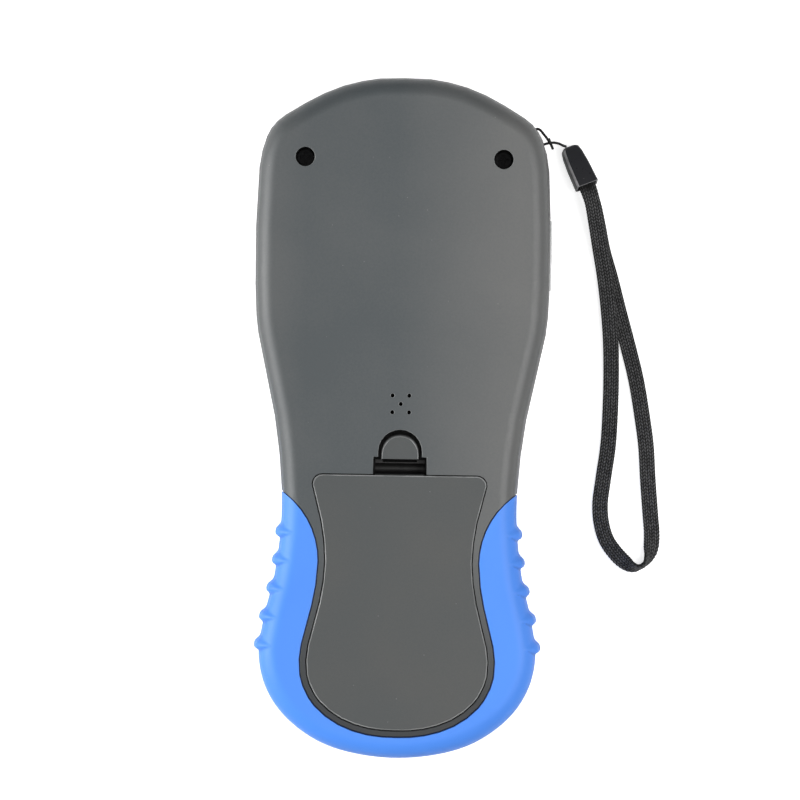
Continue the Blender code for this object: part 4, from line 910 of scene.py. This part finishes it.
# A rib's rise and width round the side, from the front face's turn (0) to the back face's (1)
ribRise = (
    (0, 0), (0.16, 0), (0.22, 0.1), (0.3, 0.34), (0.38, 0.66), (0.44, 0.92), (0.5, 1), (0.58, 0.9),
    (0.65, 0.62), (0.73, 0.34), (0.81, 0.13), (0.88, 0), (1, 0),
)
ribWidth = (
    (0, 0.12), (0.16, 0.12), (0.22, 0.2), (0.3, 0.42), (0.38, 0.7), (0.44, 0.9), (0.5, 1), (0.58, 0.88),
    (0.65, 0.66), (0.73, 0.42), (0.81, 0.22), (0.88, 0.12), (1, 0.12),
)
# Its section from its foot side to its head side, in widths, and the shade in the crease under it
ribSection = (
    (-0.65, 0), (-0.52, 0.02), (-0.44, 0.3), (-0.33, 0.78), (-0.14, 1), (0.06, 0.95), (0.3, 0.52),
    (0.5, 0.12), (0.62, 0.02), (0.75, 0),
)
ribCrease = ((0, 0), (0.04, 0), (0.09, 1), (0.14, 0.7), (0.22, 0), (1, 0))


def between(shares, start, end):
    return [(start[0] + (end[0] - start[0]) * x, start[1] + (end[1] - start[1]) * y) for x, y in shares]


def smoothHalf(points, steps=16):
    # a smooth run whose first and last points only give the direction there
    return smoothRun(points, steps)[steps:-steps]


def outOf(run):
    # the outline runs clockwise, so out of the case is to its left
    return Vector((-run.y, run.x)).normalized()


def tilted(out, turn):
    return Vector((out.x * math.cos(turn), out.y * math.cos(turn), math.sin(turn)))


def offsetRun(run, distance):
    moved = []
    for before, point, after in zip(run, run[1:], run[2:]):
        along = ((point - before).normalized() + (after - point).normalized()).normalized()
        moved.append(Vector((point.x + along.y * distance, point.y - along.x * distance)))
    return moved


def caseHalf():
    # the right half of the case's outline, from the crown's middle to the foot's
    head, hip = case["headHalf"], case["hip"]
    half = between(crownShares, (0, case["head"]), (head, case["crown"]))
    half.append((head * 0.995, (case["neck"] + case["crown"]) / 2))
    half += between(neckShares, (head, case["neck"]), case["waist"])
    half += between(thighShares, case["waist"], hip)
    half += between(heelShares, (0, hip[1]), (hip[0], case["foot"]))
    return smoothHalf([(-half[1][0], half[1][1]), *half, (-half[-2][0], half[-2][1])])


def thinnedRun(points, error=0.1):
    # only the points that keep the run this close to straight lines, as the frame's solids have them
    kept, start = [points[0]], 0
    for end in range(2, len(points)):
        along = (points[end] - points[start]).normalized()
        if any(abs(along.cross(p - points[start])) > error for p in points[start + 1 : end]):
            start = end - 1
            kept.append(points[start])
    return [*kept, points[-1]]


def sleeveEdge(inset):
    # the right half of the sleeve's edge on the faces, and a little past the middle of its foot
    waist, hip = door["waist"], door["hip"]
    run = between(doorHipShares, waist, hip) + between(doorHeelShares, (0, hip[1]), (hip[0], door["foot"]))
    above, beyond = (waist[0], 2 * waist[1] - run[0][1]), (-run[-2][0], run[-2][1])
    inner = thinnedRun(smoothHalf([above, waist, *run, beyond], 6))
    inner = [Vector(above), *inner, Vector((-inner[-2].x, inner[-2].y))]
    centre = waist[0] + door["rim"] + sleeve["hornRadius"]
    radius = sleeve["hornRadius"] + inset
    sweep = math.asin((sleeve["top"] + inset - waist[1]) / radius)
    horn = []
    for i in range(9):
        angle = math.pi - sweep * (1 - i / 9)
        horn.append(Vector((centre + radius * math.cos(angle), waist[1] + radius * math.sin(angle))))
    edge = [*horn, *offsetRun(inner, inset - door["rim"])]
    return [*edge, *[Vector((-p.x, p.y)) for p in edge[-2:-8:-1]]]


def reachInside(point, way, edge):
    # how far inside the outline the edge runs, straight in from this point
    found = []
    for a, b in zip(edge, edge[1:]):
        run = b - a
        cross = way.cross(run)
        if abs(cross) < 1e-9:
            continue
        share = (a - point).cross(way) / cross
        if -0.001 <= share <= 1.001:
            found.append(((a + run * share) - point).dot(way))
    return min((far for far in found if far > -0.3), default=-1)


def skinRows(reach, wall):
    # the section's outer side at one station: depth inside the outline, height, turn of its surface
    draft, parting, counts = case["draft"], case["parting"], sleeve["rows"]
    flat, bend, side, corner = counts["flat"], counts["bend"], counts["side"], counts["edge"]
    rounding = min(sleeve["edgeRound"], reach * 0.3)
    last = reach - rounding
    halves = []
    for way, shoulder, face in caseSides:
        flatEnd = draft + shoulder

        def clip(depth):
            if depth >= flatEnd:
                return (depth, face, 90 * way)
            if depth >= draft:
                turn = math.acos(1 - (depth - draft) / shoulder)
                return (depth, face - way * shoulder * (1 - math.sin(turn)), math.degrees(turn) * way)
            return (depth, parting + (face - way * shoulder - parting) * depth / draft, 0)

        depths = [flatEnd + (max(last, flatEnd) - flatEnd) * (1 - i / flat) for i in range(flat)]
        depths += [draft + shoulder * (1 - math.cos(math.pi / 2 * (1 - i / bend))) for i in range(bend + 1)]
        depths += [draft * (1 - i / side) for i in range(1, side + 1 if way > 0 else side)]
        rows = [clip(min(depth, last)) for depth in depths]
        (depth, height, turn), edge = rows[0], []
        angle = abs(math.radians(turn))
        for i in range(1, corner + 1):
            bow = math.pi / 2 * i / corner
            on, under = rounding * math.sin(bow), rounding * (1 - math.cos(bow))
            rise = on * math.cos(angle) - under * math.sin(angle)
            edge.append((depth + on * math.sin(angle) + under * math.cos(angle), height + way * rise, None))
        halves.append([*reversed(edge), *rows])
    high, low = halves[0][0][1], halves[1][0][1]
    fall, fifth = min(sleeve["face"], (high - low) * 0.3), (high - low) * 0.2
    brink = min(sleeve["edgeRound"], fall * 0.4)
    inner = min(reach, sleeve["side"])
    upperTurn, lowerTurn = [min(reach, inner + shoulder * 0.7) for way, shoulder, face in caseSides]
    under = (
        (wall, low + brink), (wall, low + fall), (lowerTurn, low + fall), (inner, low + fifth),
        (inner, high - fifth), (upperTurn, high - fall), (wall, high - fall), (wall, high - brink),
    )
    return [*halves[0], *reversed(halves[1]), *[(*row, None) for row in under]]


def sleeveSkin():
    # a skin along the case's outline, carrying at each point its turn and the way its ribs stand out
    half = [p.to_3d() for p in caseHalf() if p.y < sleeve["start"]]
    outline = [point for point, _ in evenRun(half, sleeve["step"])]
    edge, seat = sleeveEdge(sleeve["grow"]), sleeveEdge(sleeve["seat"])
    beyond = Vector((-outline[-2].x, outline[-2].y, 0))
    stations = []
    for before, point, after in zip(outline, outline[1:], [*outline[2:], beyond]):
        out = outOf(after - before)
        reach, wall = reachInside(point.xy, -out, edge), reachInside(point.xy, -out, seat)
        if wall > sleeve["least"]:
            stations.append((point.xy, out, max(reach, sleeve["narrow"]), wall))
    foot, inwards = Vector((0, case["foot"])), Vector((0, 1))
    middle = (foot, -inwards, reachInside(foot, inwards, edge), reachInside(foot, inwards, seat))
    mirror = Vector((-1, 1))
    left = [(p * mirror, out * mirror, *reaches) for p, out, *reaches in reversed(stations)]
    form = bmesh.new()
    turnLayer = form.verts.layers.float.new("turn")
    outLayer = form.verts.layers.float_vector.new("out")
    deepLayer = form.verts.layers.float.new("deep")
    rings = []
    for point, out, reach, wall in [*stations, middle, *left]:
        ring = []
        for depth, height, turn in skinRows(reach, wall):
            spot = point - out * depth
            vert = form.verts.new((mm * spot.x, mm * spot.y, mm * height))
            vert[turnLayer] = -90 if turn is None else turn
            # painted shade: the edge's rounding and the skin's inner side are painted dark
            vert[deepLayer] = 1.0 if turn is None else 0.0
            vert[outLayer] = tilted(out, math.radians(turn or 0))
            ring.append(vert)
        rings.append(ring)
    joinRings(form, rings)
    bmesh.ops.remove_doubles(form, verts=form.verts, dist=0.004 * mm)
    return meshFrom("gripSleeve", form)


def curveNode(value, points):
    made = put(value.tree, "ShaderNodeFloatCurve", {"Value": value})
    mapping = made.socket.node.mapping
    curve = mapping.curves[0]
    curve.points[0].location, curve.points[-1].location = points[0], points[-1]
    for x, y in points[1:-1]:
        curve.points.new(x, y)
    mapping.update()
    return made


def makeRibs():
    # finger ribs across the sleeve's sides: rounded to the head, undercut to the foot, pointed at both ends
    tree, start, end = newTree(
        "fingerRibs", "GeometryNodeTree", {"Skin": "Geometry", **sleeve["ribs"], "Finish": "Material"},
        {"Skin": "Geometry"},
    )
    y = apart(put(tree, "GeometryNodeInputPosition"))[1] * (1 / mm)
    around = spread(kept(tree, "turn"), -90.0, 90.0)
    rise, width = curveNode(around, ribRise), curveNode(around, ribWidth)
    row = reckon("MAXIMUM", reckon("ROUND", (start["Top"] - y) / start["Pitch"]), 0.0)
    row = reckon("MINIMUM", row, start["Count"] - 1.0)
    along = (y - (start["Top"] - row * start["Pitch"])) / start["Width"]
    along = (along - start["Tip"]) / width + start["Tip"]
    low, high = ribSection[0][0], ribSection[-1][0]
    share = spread(along, low, high)
    bump = curveNode(share, [((x - low) / (high - low), height) for x, height in ribSection])
    lift = bump * rise * (start["Rise"] * mm)
    crease = curveNode(share, ribCrease) * reckon("MINIMUM", rise * 0.9, start["Crease"])
    skin = stored(start["Skin"], "deep", reckon("MAXIMUM", kept(tree, "deep"), crease))
    closeTree(end, pushed(skin, kept(tree, "out", "FLOAT_VECTOR"), lift), start["Finish"])
    return tree


gripSleeve = runTree(sleeveSkin(), makeRibs(), {**sleeve["ribs"], "Finish": materials["gripBlue"]})
shaded(gripSleeve, 42)
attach(gripSleeve, "body")
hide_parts("grip_sleeve")
print("grip sleeve made:", len(gripSleeve.data.polygons), "faces")


# Pieces that follow the frame's solids, with their edges rounded

corners = {"least": 50, "flat": 0.3, "merge": 0.002 * mm, "unlit": 0.25, "litGain": 1.4}
shades = {  # millimetres; a cover's shade has its height, its depth, and how far inside the outline it stays
    "shell": (33.7, 0.9, 6.5), "door": (33.3, 0.6, 2), "grooveTop": -16.4, "padFoot": (-14, -11),
}


def camelName(node):
    first, *rest = node.split("_")
    return first + "".join(word.title() for word in rest)


def refined(
    node, look, width=0.0, steps=3, rule=None, rim=None, deep=None, spared=None, sidelit=False, name=None
):
    # a copy of the solid, with all its corners, or those that the rule picks, rounded and painted as edges
    # where a width is given
    form = bmesh.new()
    form.from_mesh(nodes[node].data)
    bmesh.ops.remove_doubles(form, verts=form.verts, dist=corners["merge"])
    flat, least = math.radians(corners["flat"]), math.radians(corners["least"])
    bmesh.ops.dissolve_limit(form, angle_limit=flat, verts=form.verts, edges=form.edges)
    weight = form.edges.layers.float.new("bevel_weight_edge")
    for edge in form.edges:
        if len(edge.link_faces) != 2 or edge.calc_face_angle(0) < least or not edge.is_convex:
            continue
        if rule is None or rule(*[vert.co for vert in edge.verts]):
            edge[weight] = 1.0
    item = meshFrom(name or camelName(node), form, turned=False)
    if width:
        change = item.modifiers.new("Round", "BEVEL")
        change.width = width
        change.segments = steps
        change.limit_method = "WEIGHT"
        change.use_clamp_overlap = rule is None
        change.material = 1  # the rounded edges stand out by their slot until they are painted
        paint(item, materials[look]).data.materials.append(materials[look])
        settled(item)

    # painted highlight: the rounded faces, and what the rim rule picks, are painted as edges for the finish
    # to lighten; sidelit paints faces turned to the sides more
    def edged(co, face):
        if spared and spared(co, face):
            return 0.0
        if face.material_index:
            return min(1.0, corners["unlit"] + corners["litGain"] * abs(face.normal.x)) if sidelit else 1.0
        return 1.0 if rim and rim(co, face) else 0.0

    painted(item, "edge", edged)
    if deep:
        painted(item, "deep", deep)
    item.data.polygons.foreach_set("material_index", [0] * len(item.data.polygons))
    evened(shaded(item))
    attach(item, bodyOf[node])
    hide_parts(node)
    return paint(item, materials[look])


def atLevel(*levels):
    return lambda a, b: any(abs(a.z - z) < 0.02 * mm and abs(b.z - z) < 0.02 * mm for z in levels)


caseTop = case["depth"] * mm
outlineRows = [(p.y, p.x) for p in caseHalf()]
halfWidths = [min(outlineRows, key=lambda row: abs(row[0] - (case["foot"] + i)))[1] for i in range(201)]


def insideCase(co, margin):
    half = halfWidths[min(len(halfWidths) - 1, max(0, int(co.y / mm - case["foot"])))]
    return abs(co.x) / mm < half - margin and case["foot"] + margin < co.y / mm < case["head"] - margin


def deepBelow(height, fade, margin):
    # painted shade in hollows: nought at this height, one a little below it, and only inside the case's sides
    return lambda co, face: clamped((height - co.z / mm) / fade) if insideCase(co, margin) else 0.0


# painted highlight: the sloped faces near the top are painted as edges
def slopedTop(co, face):
    return 1.0 if 0.2 < face.normal.z < 0.95 and co.z > caseTop - 0.5 * mm else 0.0


def padFoot(co, face):
    # the lower edge of the latch's thumb pad is turned from the light
    low, high = shades["padFoot"]
    return face.normal.y < -0.2 and low < co.y / mm < high


def inGroove(co, face):
    # the shell's edge round the door and beside the sleeve stays in shade
    return co.y / mm < shades["grooveTop"]


def shellDeep(co, face):
    # painted shade: the rounded edge in the groove round the door is painted dark, and the shell's hollows
    # darken below their height
    if inGroove(co, face) and face.material_index:
        return clamped((caseTop - 0.02 * mm - co.z) / (0.08 * mm))
    return deepBelow(*shades["shell"])(co, face)


shoulders = {"flat": 0.9998, "nearest": 0.25, "alike": 0.94, "sideHeight": 12}


def trueShoulders(item):
    # the case's outer faces take the direction of the rounded form that they stand for
    half = caseHalf()
    outline = [*half, *[Vector((-p.x, p.y)) for p in reversed(half[1:-1])]]
    tree = KDTree(len(outline))
    for i, point in enumerate(outline):
        tree.insert(point.to_3d(), i)
    tree.balance()
    mesh = item.data
    normals = [Vector(corner.vector) for corner in mesh.corner_normals]

    def trueWay(spot):
        x, y, z = mesh.vertices[spot].co / mm
        near, at, far = tree.find((x, y, 0))
        out = outOf(outline[(at + 1) % len(outline)] - outline[at - 1])
        turn, depth = 0.0, case["draft"] * min(1, abs(z - case["parting"]) / shoulders["sideHeight"])
        for way, shoulder, face in caseSides:
            over = way * (z - face) + shoulder
            if over > 0:
                turn = way * math.asin(min(1, over / shoulder))
                depth = case["draft"] + shoulder * (1 - math.cos(turn))
        return tilted(out, turn) if abs(far - depth) < shoulders["nearest"] else None

    found = {}
    for face in mesh.polygons:
        for corner, spot in zip(face.loop_indices, face.vertices):
            if abs(face.normal.z) > shoulders["flat"]:
                normals[corner] = Vector(face.normal)
                continue
            if spot not in found:
                found[spot] = trueWay(spot)
            if found[spot] and found[spot].dot(face.normal) > shoulders["alike"]:
                normals[corner] = found[spot]
    mesh.normals_split_custom_set(normals)


rearShell = refined(
    "rear_shell", "shellGrey", 0.16 * mm, 3, atLevel(caseTop), deep=shellDeep, spared=inGroove, sidelit=True
)
frontShell = refined("front_shell", "shellGrey")
for shell in (rearShell, frontShell):
    trueShoulders(shell)
batteryDoor = refined(
    "battery_door", "doorGrey", 0.1 * mm, 2, atLevel(caseTop, caseTop - 0.4 * mm), rim=slopedTop,
    deep=deepBelow(*shades["door"]), spared=padFoot,
)
portCover = refined("port_cover", "padWhite", 0.25 * mm)
print("case pieces made")

for node in sorted(nodes):
    if node.startswith("key_") and node != "key_mat":
        refined(node, "keyBlack", 0.2 * mm)
    elif "_screw_" in node:
        look = "steel" if node.startswith("board_") else "darkSteel"
        refined(node, look, 0.12 * mm, 2)
refined("display_lens", "lens", 0.15 * mm, 2)
for look, painting in (
    ("screen", ("display_module",)), ("board", ("main_board",)), ("ceramic", ("satellite_antenna",)),
    ("padWhite", ("key_mat",)), ("soundBlack", ("buzzer",)),
    ("steel", ("port_socket", "contact_plate_foot", "contact_plate_left", "contact_plate_right")),
):
    for node in painting:
        paint(nodes[node], materials[look])
for side in ("left", "right"):
    look = f"cell{side.title()}"
    refined(f"battery_cell_{side}", look, name=look)
for side in ("left", "right"):
    refined(f"contact_spring_{side}", "steel")
print("inner pieces made")
